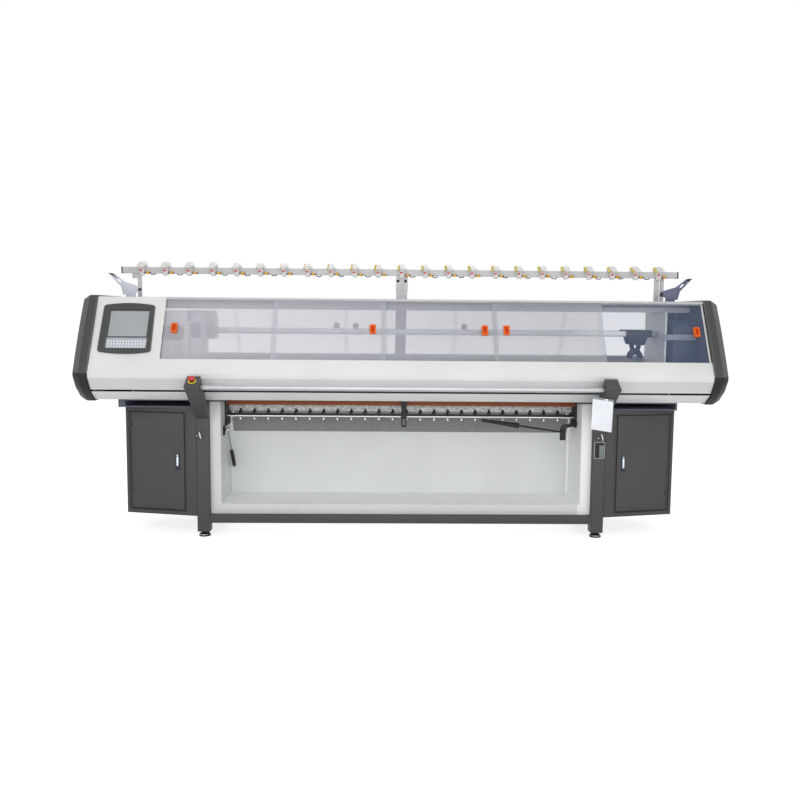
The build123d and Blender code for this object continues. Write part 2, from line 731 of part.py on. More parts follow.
def leg(x_inner, y_front, top):
    """Square tube leg with a sole plate bored for the levelling stem."""
    centre = (x_inner + LEG_WIDTH / 2, y_front + LEG_WIDTH / 2)
    square = Rectangle(LEG_WIDTH, LEG_WIDTH)
    square = chamfer(square.vertices(), LEG_WALL)
    tube = square - Rectangle(LEG_WIDTH - 2 * LEG_WALL, LEG_WIDTH - 2 * LEG_WALL)
    leg_part = Pos(*centre, FOOT_HEIGHT) * extrude(tube, top - FOOT_HEIGHT)
    sole = extrude(square - bore_outline(STEM_RADIUS), SOLE_PLATE)
    return leg_part + Pos(*centre, FOOT_HEIGHT) * sole


def levelling_foot(x_inner, y_front):
    """Domed foot with its stem in one piece."""
    rings = [
        (FOOT_RADIUS, 0),
        (FOOT_RADIUS, FOOT_HEIGHT * 0.3),
        (FOOT_RADIUS * 0.72, FOOT_HEIGHT * 0.72),
        (STEM_RADIUS * 2, FOOT_HEIGHT),
    ]
    stem = Pos(0, 0, FOOT_HEIGHT) * extrude(RegularPolygon(STEM_RADIUS, 12), FOOT_HEIGHT)
    foot = spun(rings, FOOT_SIDE_COUNT) + stem
    return Pos(x_inner + LEG_WIDTH / 2, y_front + LEG_WIDTH / 2, 0) * foot


def cross_beams():
    """Lower front and rear beams between the legs."""
    beam = block(
        (-LEG_INNER, LEG_INNER), (-LEG_FRONT, -LEG_FRONT + BEAM_DEPTH), (BEAM_LOW, BEAM_HIGH)
    )
    return front_and_back(beam)


def side_rail():
    """Right lower rail between the cross beams."""
    reach = LEG_FRONT - BEAM_DEPTH
    return block((BIN_INNER - 8, LEG_INNER), (-reach, reach), (BEAM_LOW, BEAM_HIGH))


def side_carrier():
    """Right black carrier over the cabinet, with a shelf above the bin post."""
    box = block((LEG_INNER, CARRIER_END), CARRIER_Y, (CARRIER_LOW, CARRIER_HIGH))
    box -= block(
        (CABINET_INNER + 12, CARRIER_END - 40),
        (-CARRIER_HALF, CARRIER_HALF - 12),
        (CARRIER_LOW + 8, CARRIER_HIGH - 8),
    )
    shelf = block(
        (BIN_INNER - CARRIER_SHELF_REACH, LEG_INNER), CARRIER_Y, (CARRIER_HIGH - CARRIER_SHELF, CARRIER_HIGH)
    )
    return box + shelf


def bed_beam():
    """Front longitudinal beam that carries beds, rails and cover."""
    return block((-BULK_X, BULK_X), (-BED_BEAM_OUT, -BED_BEAM_IN), (CARRIER_HIGH, BED_BEAM_HIGH))


def arm():
    """Right console arm: from the leg's top forwards and up, bored for the start bar."""
    corners = [
        (-LEG_FRONT, LEG_TOP),
        (-NOSE_Y, NOSE_Z),
        (-ARM_BACK_Y, ARM_BACK_Z),
        (-ARM_BACK_Y + 26, ARM_BACK_Z - 30),
        (-LEG_FRONT - 30, CARRIER_LOW + 22),
        (-CARRIER_HALF - 6, CARRIER_LOW),
        (-LEG_FRONT + LEG_WIDTH, CARRIER_LOW),
        (-LEG_FRONT + LEG_WIDTH, LEG_TOP),
    ]
    solid = along_x(outline(corners), LEG_INNER, LEG_INNER + LEG_WIDTH)
    return solid - bore_x(BAR_Y, BAR_Z, JOURNAL_RADIUS, LEG_INNER, LEG_INNER + JOURNAL_LENGTH + 2)


def start_bar():
    """Round start bar with a journal at each end."""
    half = LEG_INNER - BAR_END_GAP
    bar = rod_x(BAR_Y, BAR_Z, BAR_RADIUS, -half, half)
    reach = LEG_INNER + JOURNAL_LENGTH
    return bar + rod_x(BAR_Y, BAR_Z, JOURNAL_RADIUS, -reach, reach)


def button_plane():
    """Plane on the left arm's sloping top, its normal outwards."""
    run_y, run_z = NOSE_Y - ARM_BACK_Y, ARM_BACK_Z - NOSE_Z
    length = math.hypot(run_y, run_z)
    middle = (-(NOSE_Y + ARM_BACK_Y) / 2, (NOSE_Z + ARM_BACK_Z) / 2)
    x = -LEG_INNER - LEG_WIDTH / 2
    return Plane((x, *middle), x_dir=(1, 0, 0), z_dir=(0, -run_z / length, run_y / length))


def stop_ring():
    """Yellow ring plate under the stop button."""
    ring = spun([(RING_RADIUS, 0), (RING_RADIUS - 1, RING_HEIGHT)], BUTTON_SIDE_COUNT)
    bore = RegularPolygon(COLLAR_RADIUS, BUTTON_SIDE_COUNT, major_radius=False)
    return button_plane() * (ring - extrude(bore, RING_HEIGHT))


def stop_collar():
    """Black collar that guides the stop button's stem."""
    collar = RegularPolygon(COLLAR_RADIUS - SEAT_GAP, BUTTON_SIDE_COUNT)
    return button_plane() * extrude(collar - bore_outline(BUTTON_STEM), COLLAR_HEIGHT)


def stop_button():
    """Red mushroom head with its stem."""
    low = COLLAR_HEIGHT + BUTTON_TRAVEL + 1
    rings = [
        (BUTTON_RADIUS - 3, low),
        (BUTTON_RADIUS, low + 4),
        (BUTTON_RADIUS - 1, low + 8),
        (BUTTON_RADIUS * 0.7, low + BUTTON_HEIGHT - 2),
        (BUTTON_RADIUS * 0.4, low + BUTTON_HEIGHT),
    ]
    lift = BUTTON_TRAVEL + 1
    stem = Pos(0, 0, lift) * extrude(RegularPolygon(BUTTON_STEM, 12), low - lift)
    return button_plane() * (spun(rings, BUTTON_SIDE_COUNT) + stem)


def leg_hook(x, turn):
    """Chrome J hook standing out of a leg's front face."""
    y, top = -LEG_FRONT, LEG_TOP - HOOK_DROP
    path = Polyline(
        (x, y, top),
        (x, y - 18, top),
        (x + turn * 6, y - 20, top - 44),
        (x + turn * 2, y - 30, top - 48),
        (x, y - 36, top - 32),
    )
    start = Plane((x, y, top), x_dir=(1, 0, 0), z_dir=(0, -1, 0))
    return sweep(start * RegularPolygon(3, 6), path, transition=Transition.RIGHT)


def switch_plane(out=0.0):
    """Plane on the right leg's front face, its normal to the front."""
    centre = (LEG_INNER + LEG_WIDTH / 2, -LEG_FRONT - out, SWITCH_Z)
    return Plane(centre, x_dir=(1, 0, 0), z_dir=(0, -1, 0))


def switch_frame():
    """Chrome rim of the switch box."""
    outer = Rectangle(SWITCH_WIDTH, SWITCH_HEIGHT)
    rim = chamfer(outer.vertices(), SWITCH_RIM) - switch_well()
    return raised(switch_plane(), rim, SWITCH_PROUD)


def switch_well():
    """Outline of the insert inside the switch's rim."""
    well = Rectangle(SWITCH_WIDTH - 2 * SWITCH_RIM, SWITCH_HEIGHT - 2 * SWITCH_RIM)
    return chamfer(well.vertices(), SWITCH_RIM / 2)


def switch_insert():
    """Black insert with wells for the rocker and the meter."""
    insert = raised(switch_plane(), switch_well(), SWITCH_PROUD - 1)
    tall = 2 * ROCKER_HALF + 2
    rocker = Pos(ROCKER_SIDE, ROCKER_DOWN) * Rectangle(ROCKER_WIDTH + 1, tall)
    meter = Pos(METER_SIDE, ROCKER_DOWN) * Rectangle(ROCKER_WIDTH, tall)
    insert -= raised(switch_plane(SWITCH_FLOOR), rocker, SWITCH_PROUD)
    insert -= raised(switch_plane(SWITCH_PROUD / 2), meter, SWITCH_PROUD)
    half = ROCKER_WIDTH / 2 + 2
    x, y, z = rocker_axis()
    return insert - bore_x(y, z, ROCKER_PIN, x - half, x + half)


def rocker_axis():
    """Middle of the rocker's pin."""
    x = LEG_INNER + LEG_WIDTH / 2 + ROCKER_SIDE
    y = -LEG_FRONT - SWITCH_FLOOR - SEAT_GAP - ROCKER_THICK / 2
    return x, y, SWITCH_Z + ROCKER_DOWN


def switch_rocker():
    """Rocker of the power switch with its pin, tilted to its upper rest."""
    rise = ROCKER_HALF * math.tan(math.radians(ROCKER_TILT))
    half, thick = ROCKER_HALF, ROCKER_THICK
    shape = outline(
        [(-half, rise), (0, 0), (half, rise), (half - 1, rise + thick), (0, thick), (1 - half, rise + thick)]
    )
    plane = Plane((0, 0, 0), x_dir=(0, 0, 1), z_dir=(1, 0, 0))
    bar = extrude(plane * (Pos(0, -thick / 2) * shape), ROCKER_WIDTH / 2, both=True)
    tilted = Pos(*rocker_axis()) * Rot(ROCKER_TILT, 0, 0) * bar
    half = ROCKER_WIDTH / 2 + 1.5
    x, y, z = rocker_axis()
    return tilted + rod_x(y, z, ROCKER_PIN, x - half, x + half)


def switch_meter():
    """Clear window beside the rocker."""
    tall = 2 * ROCKER_HALF + 2 - 2 * SEAT_GAP
    shape = Pos(METER_SIDE, ROCKER_DOWN) * Rectangle(ROCKER_WIDTH - 2 * SEAT_GAP, tall)
    return raised(switch_plane(SWITCH_PROUD / 2), shape, SWITCH_PROUD / 2 - 2)


def document_pouch():
    """Flat pouch hung by a strap from the start bar, beside the right arm."""
    sheet = Rectangle(POUCH_WIDTH, POUCH_HEIGHT)
    plane = Plane((LEG_INNER - 36, BAR_Y - 4, BAR_Z - 140), x_dir=(1, 0, -0.12), z_dir=(0, -1, 0))
    pouch = raised(plane, sheet, 4)
    lift = BAR_Z - BAR_RADIUS - SEAT_GAP
    strap = block((LEG_INNER - 24, LEG_INNER - 6), (BAR_Y - 8, BAR_Y - 4), (BAR_Z - 66, lift))
    return pouch + strap


def fabric_bin():
    """White sheet bin: posts, sill, floor, side walls, back and a leaning upper back."""
    width = (-LEG_INNER, LEG_INNER)
    inner = (-BIN_INNER, BIN_INNER)
    section = [
        (BIN_FRONT, BEAM_HIGH),
        (BIN_FRONT, BIN_FLOOR),
        (BIN_BACK, BIN_FLOOR),
        (BIN_BACK, BIN_BEND),
        (BIN_BACK - BIN_LEAN, BIN_TOP_BACK),
        (BIN_BACK - BIN_LEAN + BIN_WALL, BIN_TOP_BACK),
        (BIN_BACK + BIN_WALL, BIN_BEND),
        (BIN_BACK + BIN_WALL, BIN_FLOOR - BIN_WALL),
        (BIN_FRONT + BIN_WALL, BIN_FLOOR - BIN_WALL),
        (BIN_FRONT + BIN_WALL, BEAM_HIGH),
    ]
    tub = along_x(outline(section), *inner)
    walls = [
        (BIN_FRONT, BEAM_HIGH),
        (BIN_FRONT, POST_TOP),
        (BIN_BACK + BIN_WALL, POST_TOP),
        (BIN_BACK + BIN_WALL, BEAM_HIGH),
    ]
    wall = along_x(outline(walls), BIN_INNER, BIN_INNER + BIN_WALL)
    for y, z in BIN_HOLES:
        wall -= stub_x(y, BIN_FLOOR + z, BIN_HOLE, BIN_INNER, BIN_INNER + BIN_WALL, 8)
    post = block(
        (BIN_INNER + BIN_WALL, LEG_INNER),
        (BIN_FRONT, BIN_FRONT + POST_DEPTH),
        (BEAM_HIGH, POST_TOP),
    )
    post -= block(
        (BIN_INNER + BIN_WALL, LEG_INNER - BIN_WALL),
        (BIN_FRONT + BIN_WALL, BIN_FRONT + POST_DEPTH),
        (BEAM_HIGH, POST_TOP),
    )
    side = wall + post
    return tub + side + mirror(side, Plane.YZ)


def cabinet_front(start, out=0.0):
    """Point (x, y) on the right cabinet's slanting front, from its inner edge outwards."""
    run_x, run_y = CABINET_OUTER - CABINET_INNER, CABINET_OUTER_Y + LEG_FRONT
    length = math.hypot(run_x, run_y)
    along = (run_x / length, run_y / length)
    return (
        CABINET_INNER + along[0] * start + along[1] * out,
        -LEG_FRONT + along[1] * start - along[0] * out,
    )


def front_slab(start, end, out, low, high):
    """Slab parallel to the right cabinet's front."""
    corners = [cabinet_front(start, out[0]), cabinet_front(end, out[0])]
    corners += [cabinet_front(end, out[1]), cabinet_front(start, out[1])]
    return upright(corners, low, high)


def hinge_spot(start, out, z_low, z_high, shape):
    """Upright prism of a sketch beside the right cabinet's front."""
    x, y = cabinet_front(start, out)
    return extrude(Pos(x, y, z_low) * shape, z_high - z_low)


HINGE_START = DOOR_END + DOOR_GAP / 2
HINGE_OUT = KNUCKLE_RADIUS + 0.3
HINGE_LEVELS = (DOOR_LOW + 90, DOOR_HIGH - 90)
KNUCKLE = RegularPolygon(KNUCKLE_RADIUS, 8)
HINGE_PIN = Circle(KNUCKLE_PIN)
HINGE_BORE = bore_outline(KNUCKLE_PIN)


def cabinet():
    """Right cabinet: sheet box with a flanged door opening and the fixed hinge halves."""
    plan = [cabinet_front(0), (CABINET_OUTER, CABINET_OUTER_Y)]
    plan += [(CABINET_OUTER, CABINET_BACK), (CABINET_INNER, CABINET_BACK)]
    body = upright(plan, CABINET_LOW, CARRIER_LOW)
    wall = CABINET_WALL
    room = [
        (CABINET_INNER + wall, cabinet_front(wall, -wall)[1]),
        (CABINET_OUTER - wall, CABINET_OUTER_Y + wall),
        (CABINET_OUTER - wall, CABINET_BACK - wall),
        (CABINET_INNER + wall, CABINET_BACK - wall),
    ]
    body -= upright(room, CABINET_LOW + wall, CARRIER_LOW - wall)
    body -= front_slab(
        DOOR_START - DOOR_GAP,
        DOOR_END + DOOR_GAP,
        (-3 * wall, 3 * wall),
        DOOR_LOW - DOOR_GAP,
        DOOR_HIGH + DOOR_GAP,
    )
    for level in HINGE_LEVELS:
        leaf = front_slab(HINGE_START + 5, HINGE_START + 26, (0, 2), level, level + KNUCKLE_LENGTH)
        barrel = hinge_spot(HINGE_START, HINGE_OUT, level, level + KNUCKLE_LENGTH, KNUCKLE)
        link = front_slab(HINGE_START + 1, HINGE_START + 6, (0.3, 3.3), level, level + KNUCKLE_LENGTH)
        pin = hinge_spot(HINGE_START, HINGE_OUT, level - KNUCKLE_LENGTH, level, HINGE_PIN)
        body += leaf + barrel + link + pin
    return body


def cabinet_door():
    """Right cabinet door: folded tray with a latch pocket and its hinge halves."""
    door = front_slab(DOOR_START, DOOR_END, (-DOOR_DEPTH, 0), DOOR_LOW, DOOR_HIGH)
    wall = CABINET_WALL
    door -= front_slab(
        DOOR_START + wall, DOOR_END - wall, (-DOOR_DEPTH, -wall), DOOR_LOW + wall, DOOR_HIGH - wall
    )
    start, end, low, high = latch_box()
    door += front_slab(start - 6, end + 6, (-LATCH_POCKET - wall, -wall), low - 6, high + 6)
    door -= front_slab(start, end, (-LATCH_POCKET, 0), low, high)
    door -= latch_pin(bore_outline(LATCH_PIN), 5)
    for level in HINGE_LEVELS:
        low, high = level - KNUCKLE_LENGTH, level - SEAT_GAP
        leaf = front_slab(HINGE_START - 26, HINGE_START - 5, (0, 2), low, high)
        barrel = hinge_spot(HINGE_START, HINGE_OUT, low, high, KNUCKLE)
        link = front_slab(HINGE_START - 6, HINGE_START - 2, (0.3, 3.3), low, high)
        bore = hinge_spot(HINGE_START, HINGE_OUT, low, high, HINGE_BORE)
        door += leaf + barrel + link
        door -= bore
    return door


def latch_box():
    """Latch place on the door: start, end, low and high."""
    start = DOOR_START + LATCH_INSET
    low = DOOR_HIGH - LATCH_DOWN - LATCH_HEIGHT
    return start, start + LATCH_WIDTH, low, low + LATCH_HEIGHT


def latch_pin(shape, reach):
    """Pin of the right latch, along the cabinet's front and reaching past the paddle."""
    start, end, _, high = latch_box()
    tip = cabinet_front(start - reach, LATCH_AXIS)
    far = cabinet_front(end + reach, LATCH_AXIS)
    level = high - LATCH_DROP
    along = (far[0] - tip[0], far[1] - tip[1], 0)
    plane = Plane((*tip, level), z_dir=along)
    return raised(plane, shape, math.dist(tip, far))


def latch_handle():
    """Chrome paddle of the right door's flush latch, on its pin."""
    start, end, low, high = latch_box()
    edge = 1.5
    paddle = front_slab(start + edge, end - edge, (-5, edge), low + edge, high - edge - 0.5)
    paddle -= front_slab(start + 6, end - 6, (-2, 2), low + 8, low + 44)
    return paddle + latch_pin(Circle(LATCH_PIN), 4)


def control_rack():
    """Mounting plate and control modules inside the right cabinet."""
    back = CABINET_BACK - CABINET_WALL
    face = back - RACK_PLATE
    left, right = CABINET_INNER + RACK_MARGIN, CABINET_OUTER - RACK_MARGIN
    bottom, top = CABINET_LOW + RACK_EDGE, CARRIER_LOW - RACK_EDGE
    rack = block((left, right), (face, back), (bottom, top))
    wide = (right - left - 3 * RACK_SPACE) / 2
    tall = (top - bottom - (RACK_ROWS + 1) * RACK_SPACE) / RACK_ROWS
    for row in range(RACK_ROWS):
        low = bottom + RACK_SPACE + row * (tall + RACK_SPACE)
        for start in (left + RACK_SPACE, right - RACK_SPACE - wide):
            rack += block((start, start + wide), (face - RACK_DEPTH, face), (low, low + tall))
    return rack


def bed_point(down, out):
    """Point (y, z) on the front needle bed, down its face from the crest and outwards."""
    root = math.sqrt(0.5)
    return (-BED_GAP / 2 - root * (down + out), BED_CREST_Z - root * (down - out))


def needle_bed():
    """Front needle bed, slotted across its upper face."""
    drop = BED_WIDTH * math.sqrt(0.5)
    inset = BED_THICK * math.sqrt(2)
    corners = [
        (-BED_GAP / 2, BED_CREST_Z),
        bed_point(BED_WIDTH, 0),
        bed_point(BED_WIDTH, -BED_THICK),
        (-BED_GAP / 2, BED_CREST_Z - inset),
    ]
    bed = along_x(outline(corners), -BED_HALF, BED_HALF)
    count = int(2 * (BED_HALF - SLOT_PITCH) / SLOT_PITCH)
    slot = outline(
        [
            bed_point(-8, 1),
            bed_point(BED_WIDTH * 0.55, 1),
            bed_point(BED_WIDTH * 0.55, -SLOT_DEPTH),
            bed_point(-8, -SLOT_DEPTH),
        ]
    )
    cutter = along_x(slot, -SLOT_WIDTH / 2, SLOT_WIDTH / 2)
    first = -SLOT_PITCH * (count - 1) / 2
    return bed - [Pos(first + SLOT_PITCH * number, 0, 0) * cutter for number in range(count)]


def bed_casting():
    """Front casting that carries a needle bed on the beam."""
    inset = BED_THICK * math.sqrt(2)
    top = (-BED_GAP / 2 - 18, BED_CREST_Z - inset - 18)
    foot = bed_point(BED_WIDTH, -BED_THICK)
    corners = [
        top,
        foot,
        (-BED_BEAM_IN - 32, foot[1]),
        (-BED_BEAM_IN - 32, BED_BEAM_HIGH),
        (foot[0] + 74, BED_BEAM_HIGH),
        (top[0], top[1] - 60),
    ]
    return along_x(outline(corners), -BED_HALF, BED_HALF)


def rail_ledge():
    """Front ledge that carries the carriage rail on the beam."""
    low, high = -RAIL_Y - 22, -RAIL_Y + 24
    corners = [
        (low, BED_BEAM_HIGH),
        (low, LEDGE_HIGH),
        (high, LEDGE_HIGH),
        (high, LEDGE_HIGH - 10),
        (low + 12, LEDGE_HIGH - 16),
        (low + 12, BED_BEAM_HIGH + 10),
        (high, BED_BEAM_HIGH + 8),
        (high, BED_BEAM_HIGH),
    ]
    return along_x(outline(corners), -END_PLATE_X, END_PLATE_X)


def carriage_rail():
    """Front carriage rail, a bar with bevelled upper edges."""
    half = RAIL_WIDTH / 2
    top = LEDGE_HIGH + RAIL_HEIGHT
    corners = [
        (-RAIL_Y - half, LEDGE_HIGH),
        (-RAIL_Y - half, top - 5),
        (-RAIL_Y - half + 5, top),
        (-RAIL_Y + half - 5, top),
        (-RAIL_Y + half, top - 5),
        (-RAIL_Y + half, LEDGE_HIGH),
    ]
    return along_x(outline(corners), -END_PLATE_X, END_PLATE_X)


def end_plate():
    """Right light-coloured end plate that holds rails and top beam."""
    plate = block(
        (END_PLATE_X, END_PLATE_X + END_PLATE),
        (-END_PLATE_HALF, END_PLATE_HALF),
        (BED_BEAM_HIGH, TOP_BEAM_LOW),
    )
    foot = block(
        (END_PLATE_X, END_PLATE_X + END_PLATE),
        (-BED_BEAM_OUT, BED_BEAM_OUT),
        (BED_BEAM_HIGH, LEDGE_HIGH + RAIL_HEIGHT),
    )
    return plate + foot


def drive_housing():
    """Right drive housing between the end plate and the bulkhead."""
    half = END_PLATE_HALF
    corners = [
        (-half, BED_BEAM_HIGH),
        (-half, HOUSING_TOP - 40),
        (-half + 30, HOUSING_TOP),
        (half - 30, HOUSING_TOP),
        (half, HOUSING_TOP - 40),
        (half, BED_BEAM_HIGH),
    ]
    return along_x(outline(corners), HOUSING_X, BULK_X)


def top_beam():
    """Beam under the roof with a narrow web up to the roof plate."""
    flange = Pos(0, (TOP_BEAM_LOW + TOP_BEAM_HIGH) / 2) * Rectangle(
        2 * TOP_BEAM_HALF, TOP_BEAM_HIGH - TOP_BEAM_LOW
    )
    roof_low = ROOF_Z - ROOF_PLATE
    web = Pos(0, (TOP_BEAM_HIGH + roof_low) / 2) * Rectangle(
        TOP_BEAM_WEB, roof_low - TOP_BEAM_HIGH
    )
    return along_x(flange + web, -BULK_X, BULK_X)


def rear_mullion():
    """Support behind the rear windows, from the roof down to the lower track."""
    strip = slope_strip(
        (TRACK_GRIP / 2, TRACK_FLOOR + TRACK_BASE), (-TRACK_DEPTH - 12, -TRACK_DEPTH), -35, 35
    )
    return mirror(strip, Plane.XZ)


def yarn_rails():
    """Four flat rails between the end plates."""
    rails = []
    for y in YARN_RAIL_PLACES:
        half = YARN_RAIL_THICK / 2
        rails.append(
            block((-END_PLATE_X, END_PLATE_X), (y - half, y + half), (YARN_RAIL_LOW, YARN_RAIL_HIGH))
        )
    return rails


def yarn_carrier():
    """Front yarn carrier: shoe on the outer rail, body plate and forked foot."""
    rail_face = YARN_RAIL_PLACES[0] - YARN_RAIL_THICK / 2 - FEEDER_GAP
    back = rail_face - FEEDER_PLATE
    x = FEEDER_X
    half = FEEDER_WIDTH / 2
    shoe = block((x - half, x + half), (back, rail_face), (YARN_RAIL_LOW - 4, YARN_RAIL_HIGH + 8))
    hood = block(
        (x - half, x + half),
        (rail_face, rail_face + YARN_RAIL_THICK + 2 * FEEDER_GAP),
        (YARN_RAIL_HIGH + FEEDER_GAP, YARN_RAIL_HIGH + 8),
    )
    hub = BED_CREST_Z + FORK_RISE
    plate = along_y(
        outline(
            [
                (x - 52, YARN_RAIL_LOW - 4),
                (x + 52, YARN_RAIL_LOW - 4),
                (x + 34, hub + 32),
                (x - 34, hub + 32),
            ]
        ),
        back,
        rail_face,
    )
    arm_section = outline(
        [(back, hub + 36), (rail_face, hub + 36), (-22, hub - 16), (-22, hub - 30), (-36, hub - 30)]
    )
    arm_plate = along_x(arm_section, x - 14, x + 14)
    foot = along_y(fork_outline(x, hub), -34, -24)
    return shoe + hood + plate + arm_plate + foot


def fork_outline(x, hub):
    """Outline of the forked foot, two splayed toes under a hub."""
    right = [(20, 0), (40, -24), (42, -48), (28, -56), (24, -40)]
    left = [(-reach, drop) for reach, drop in reversed(right)]
    return outline([(x + reach, hub + drop) for reach, drop in right + [(0, -24)] + left])


def carriage_cover():
    """Front cream housing of the carriage over its cam box."""
    low = RUNNER_TOP
    inner = bed_point(CAM_START, CAM_GAP + CAM_HEIGHT)
    outer = bed_point(CAM_END, CAM_GAP + CAM_HEIGHT)
    corners = [
        (-BED_BEAM_OUT, low),
        (-BED_BEAM_OUT, COVER_TOP - COVER_SLANT_HEIGHT),
        (-BED_BEAM_OUT + COVER_SLANT_DEPTH, COVER_TOP),
        (inner[0], COVER_TOP),
        inner,
        outer,
        (outer[0], low),
    ]
    return along_x(outline(corners), CARRIAGE_LEFT, CARRIAGE_MID)


def cam_box():
    """Front cam box just above the needle bed."""
    corners = [
        bed_point(CAM_START, CAM_GAP),
        bed_point(CAM_END, CAM_GAP),
        bed_point(CAM_END, CAM_GAP + CAM_HEIGHT),
        bed_point(CAM_START, CAM_GAP + CAM_HEIGHT),
    ]
    return along_x(outline(corners), CARRIAGE_LEFT + 12, CARRIAGE_MID - 12)


def carriage_bridge():
    """Arched bridge that ties the two carriage halves over the yarn rails."""
    half, low = BED_BEAM_OUT - BRIDGE_IN, BRIDGE_TOP - BRIDGE_HEIGHT
    inside = TUNNEL_HALF + 4
    right = [
        (inside, TUNNEL_TOP),
        (inside, low),
        (half, low),
        (half, BRIDGE_TOP - 78),
        (half - 40, BRIDGE_TOP - 18),
        (half - 72, BRIDGE_TOP),
    ]
    left = [(-y, z) for y, z in reversed(right)]
    return along_x(outline(right + left), CARRIAGE_MID, CARRIAGE_RIGHT)


def carriage_runner(x):
    """Shoe that carries the front of the carriage on its rail."""
    low = LEDGE_HIGH + RAIL_HEIGHT + RUNNER_GAP
    half = RAIL_WIDTH / 2
    return block((x - 40, x + 40), (-RAIL_Y - half, -RAIL_Y + half), (low, RUNNER_TOP))


def roller(y):
    """Takedown roller with a journal at each end."""
    reach = BIN_INNER - BRACKET_THICK - 2
    body = rod_x(y, ROLLER_Z, ROLLER_RADIUS, -reach, reach)
    tip = BIN_INNER - 2
    return body + rod_x(y, ROLLER_Z, ROLLER_JOURNAL, -tip, tip)


def roller_places():
    """Y of the front and rear takedown rollers, on both sides of the bed gap."""
    half = ROLLER_RADIUS + NIP_GAP / 2
    return -half, half


def takedown_bracket():
    """Right end plate of the takedown, bored for rollers and presser rod."""
    corners = [
        (BRACKET_FRONT, BRACKET_LOW),
        (BRACKET_FRONT, POST_TOP),
        (BRACKET_BACK, POST_TOP),
        (BRACKET_BACK, BIN_TOP_BACK + 12),
        (BIN_BACK - BIN_LEAN - 24, BIN_TOP_BACK + 12),
        (BIN_BACK - BIN_LEAN - 24, BRACKET_LOW),
    ]
    low, high = BIN_INNER - BRACKET_THICK, BIN_INNER
    plate = along_x(outline(corners), low, high)
    for y in roller_places():
        plate -= bore_x(y, ROLLER_Z, ROLLER_JOURNAL, low - 1, high + 1)
    return plate - bore_x(PRESSER_Y, PRESSER_Z, PRESSER_RADIUS, low - 1, high + 1)


def hook_places():
    """X of each presser hook."""
    count = int(2 * (BIN_INNER - HOOK_MARGIN) / HOOK_PITCH) + 1
    return [x + HOOK_SHIFT for x in evenly(HOOK_PITCH * (count - 1) / 2, count)]


def presser_rod():
    """Bright rod of the presser, turning in the end plates."""
    reach = BIN_INNER - 1
    return rod_x(PRESSER_Y, PRESSER_Z, PRESSER_RADIUS, -reach, reach)


def presser_hooks():
    """Flat bar on the presser rod with its row of curved hooks."""
    y, z = PRESSER_Y, PRESSER_Z + PRESSER_RADIUS + SEAT_GAP
    reach = BIN_INNER - BRACKET_THICK - 4
    bar = block((-reach, reach), (y - 5, y + 9), (z, z + 9))
    hook = outline(
        [
            (y + 2, z + 9),
            (y + 4, z + 26),
            (y + 16, z + 38),
            (y + 27, z + 34),
            (y + 9, z + 9),
        ]
    )
    hooks = [along_x(hook, x - HOOK_WIDTH / 2, x + HOOK_WIDTH / 2) for x in hook_places()]
    return bar + hooks


def presser_knobs():
    """Bright adjusting knobs hanging under the presser rod, one at each hook."""
    y, top = PRESSER_Y, PRESSER_Z - PRESSER_RADIUS - SEAT_GAP
    shape = RegularPolygon(7, 6)
    return [Pos(x, y, top - 14) * extrude(shape, 14) for x in hook_places()]


def centre_bracket():
    """Slotted plate that steadies the takedown at the middle."""
    low, high = CENTRE_BRACKET_X - CENTRE_BRACKET_WIDTH / 2, CENTRE_BRACKET_X + CENTRE_BRACKET_WIDTH / 2
    back = CENTRE_BRACKET_REACH - BED_BEAM_IN
    plate = block((low, high), (back - 8, back), (BRACKET_LOW, CARRIER_HIGH + 12))
    slot_width = (CENTRE_BRACKET_X - 7, CENTRE_BRACKET_X + 7)
    slot = block(slot_width, (back - 10, back + 2), (BRACKET_LOW + 13, BRACKET_LOW + 51))
    hanger = block((low, high), (-BED_BEAM_IN, back), (CARRIER_HIGH + 4, CARRIER_HIGH + 12))
    return plate - slot + hanger


def fabric_guide():
    """Orange-brown guide strip in front of the takedown roller."""
    reach = BIN_INNER - BRACKET_THICK
    low, high = ROLLER_Z + GUIDE_RISE, ROLLER_Z + GUIDE_RISE + GUIDE_HEIGHT
    strip = block((-reach, reach), (-147, -142), (low, high))
    lip = block((-reach, reach), (-147, -120), (high - 4, high))
    return strip + lip


def lever_bracket_left():
    """Boss on the left wall that carries the left hand lever."""
    wall, y, z = -BIN_INNER, LEVER_LEFT_Y, LEVER_LEFT_Z
    base = block((wall, wall + 8), (y - 22, y + 22), (z - 34, z + 22))
    pin = rod_x(y, z, LEVER_PIN, wall + 8, wall + 34)
    return base + pin


def lever_left_place():
    """Location of the left lever's pin, its z axis back along the lever."""
    return Pos(-BIN_INNER + 26, LEVER_LEFT_Y, LEVER_LEFT_Z) * Rot(LEVER_LEFT_TURN, 0, 0)


def lever_left():
    """Left hand lever: eye on its pin, steel rod and the seat of the grip."""
    eye = stub_x(0, 0, LEVER_EYE, -LEVER_BOSS, LEVER_BOSS, 12)
    rod = Pos(0, 0, -LEVER_LENGTH) * extrude(RegularPolygon(LEVER_ROD, 8), LEVER_LENGTH)
    bore = bore_x(0, 0, LEVER_PIN, -LEVER_BOSS, LEVER_BOSS)
    return lever_left_place() * (eye + rod - bore)


def grip_left():
    """Black grip of the left hand lever."""
    far = -LEVER_LENGTH - GRIP_LENGTH
    rings = [(GRIP_RADIUS - 2, far), (GRIP_RADIUS, far + 12), (GRIP_RADIUS, -LEVER_LENGTH - 4)]
    return lever_left_place() * spun(rings + [(GRIP_RADIUS - 3, -LEVER_LENGTH)], 12)


def lever_right_place():
    """Location of the right lever's pin, its z axis back along the lever."""
    place = Pos(LEVER_RIGHT_X, LEVER_RIGHT_Y, LEVER_RIGHT_Z)
    return place * Rot(0, 90 + LEVER_RIGHT_RISE, 0)


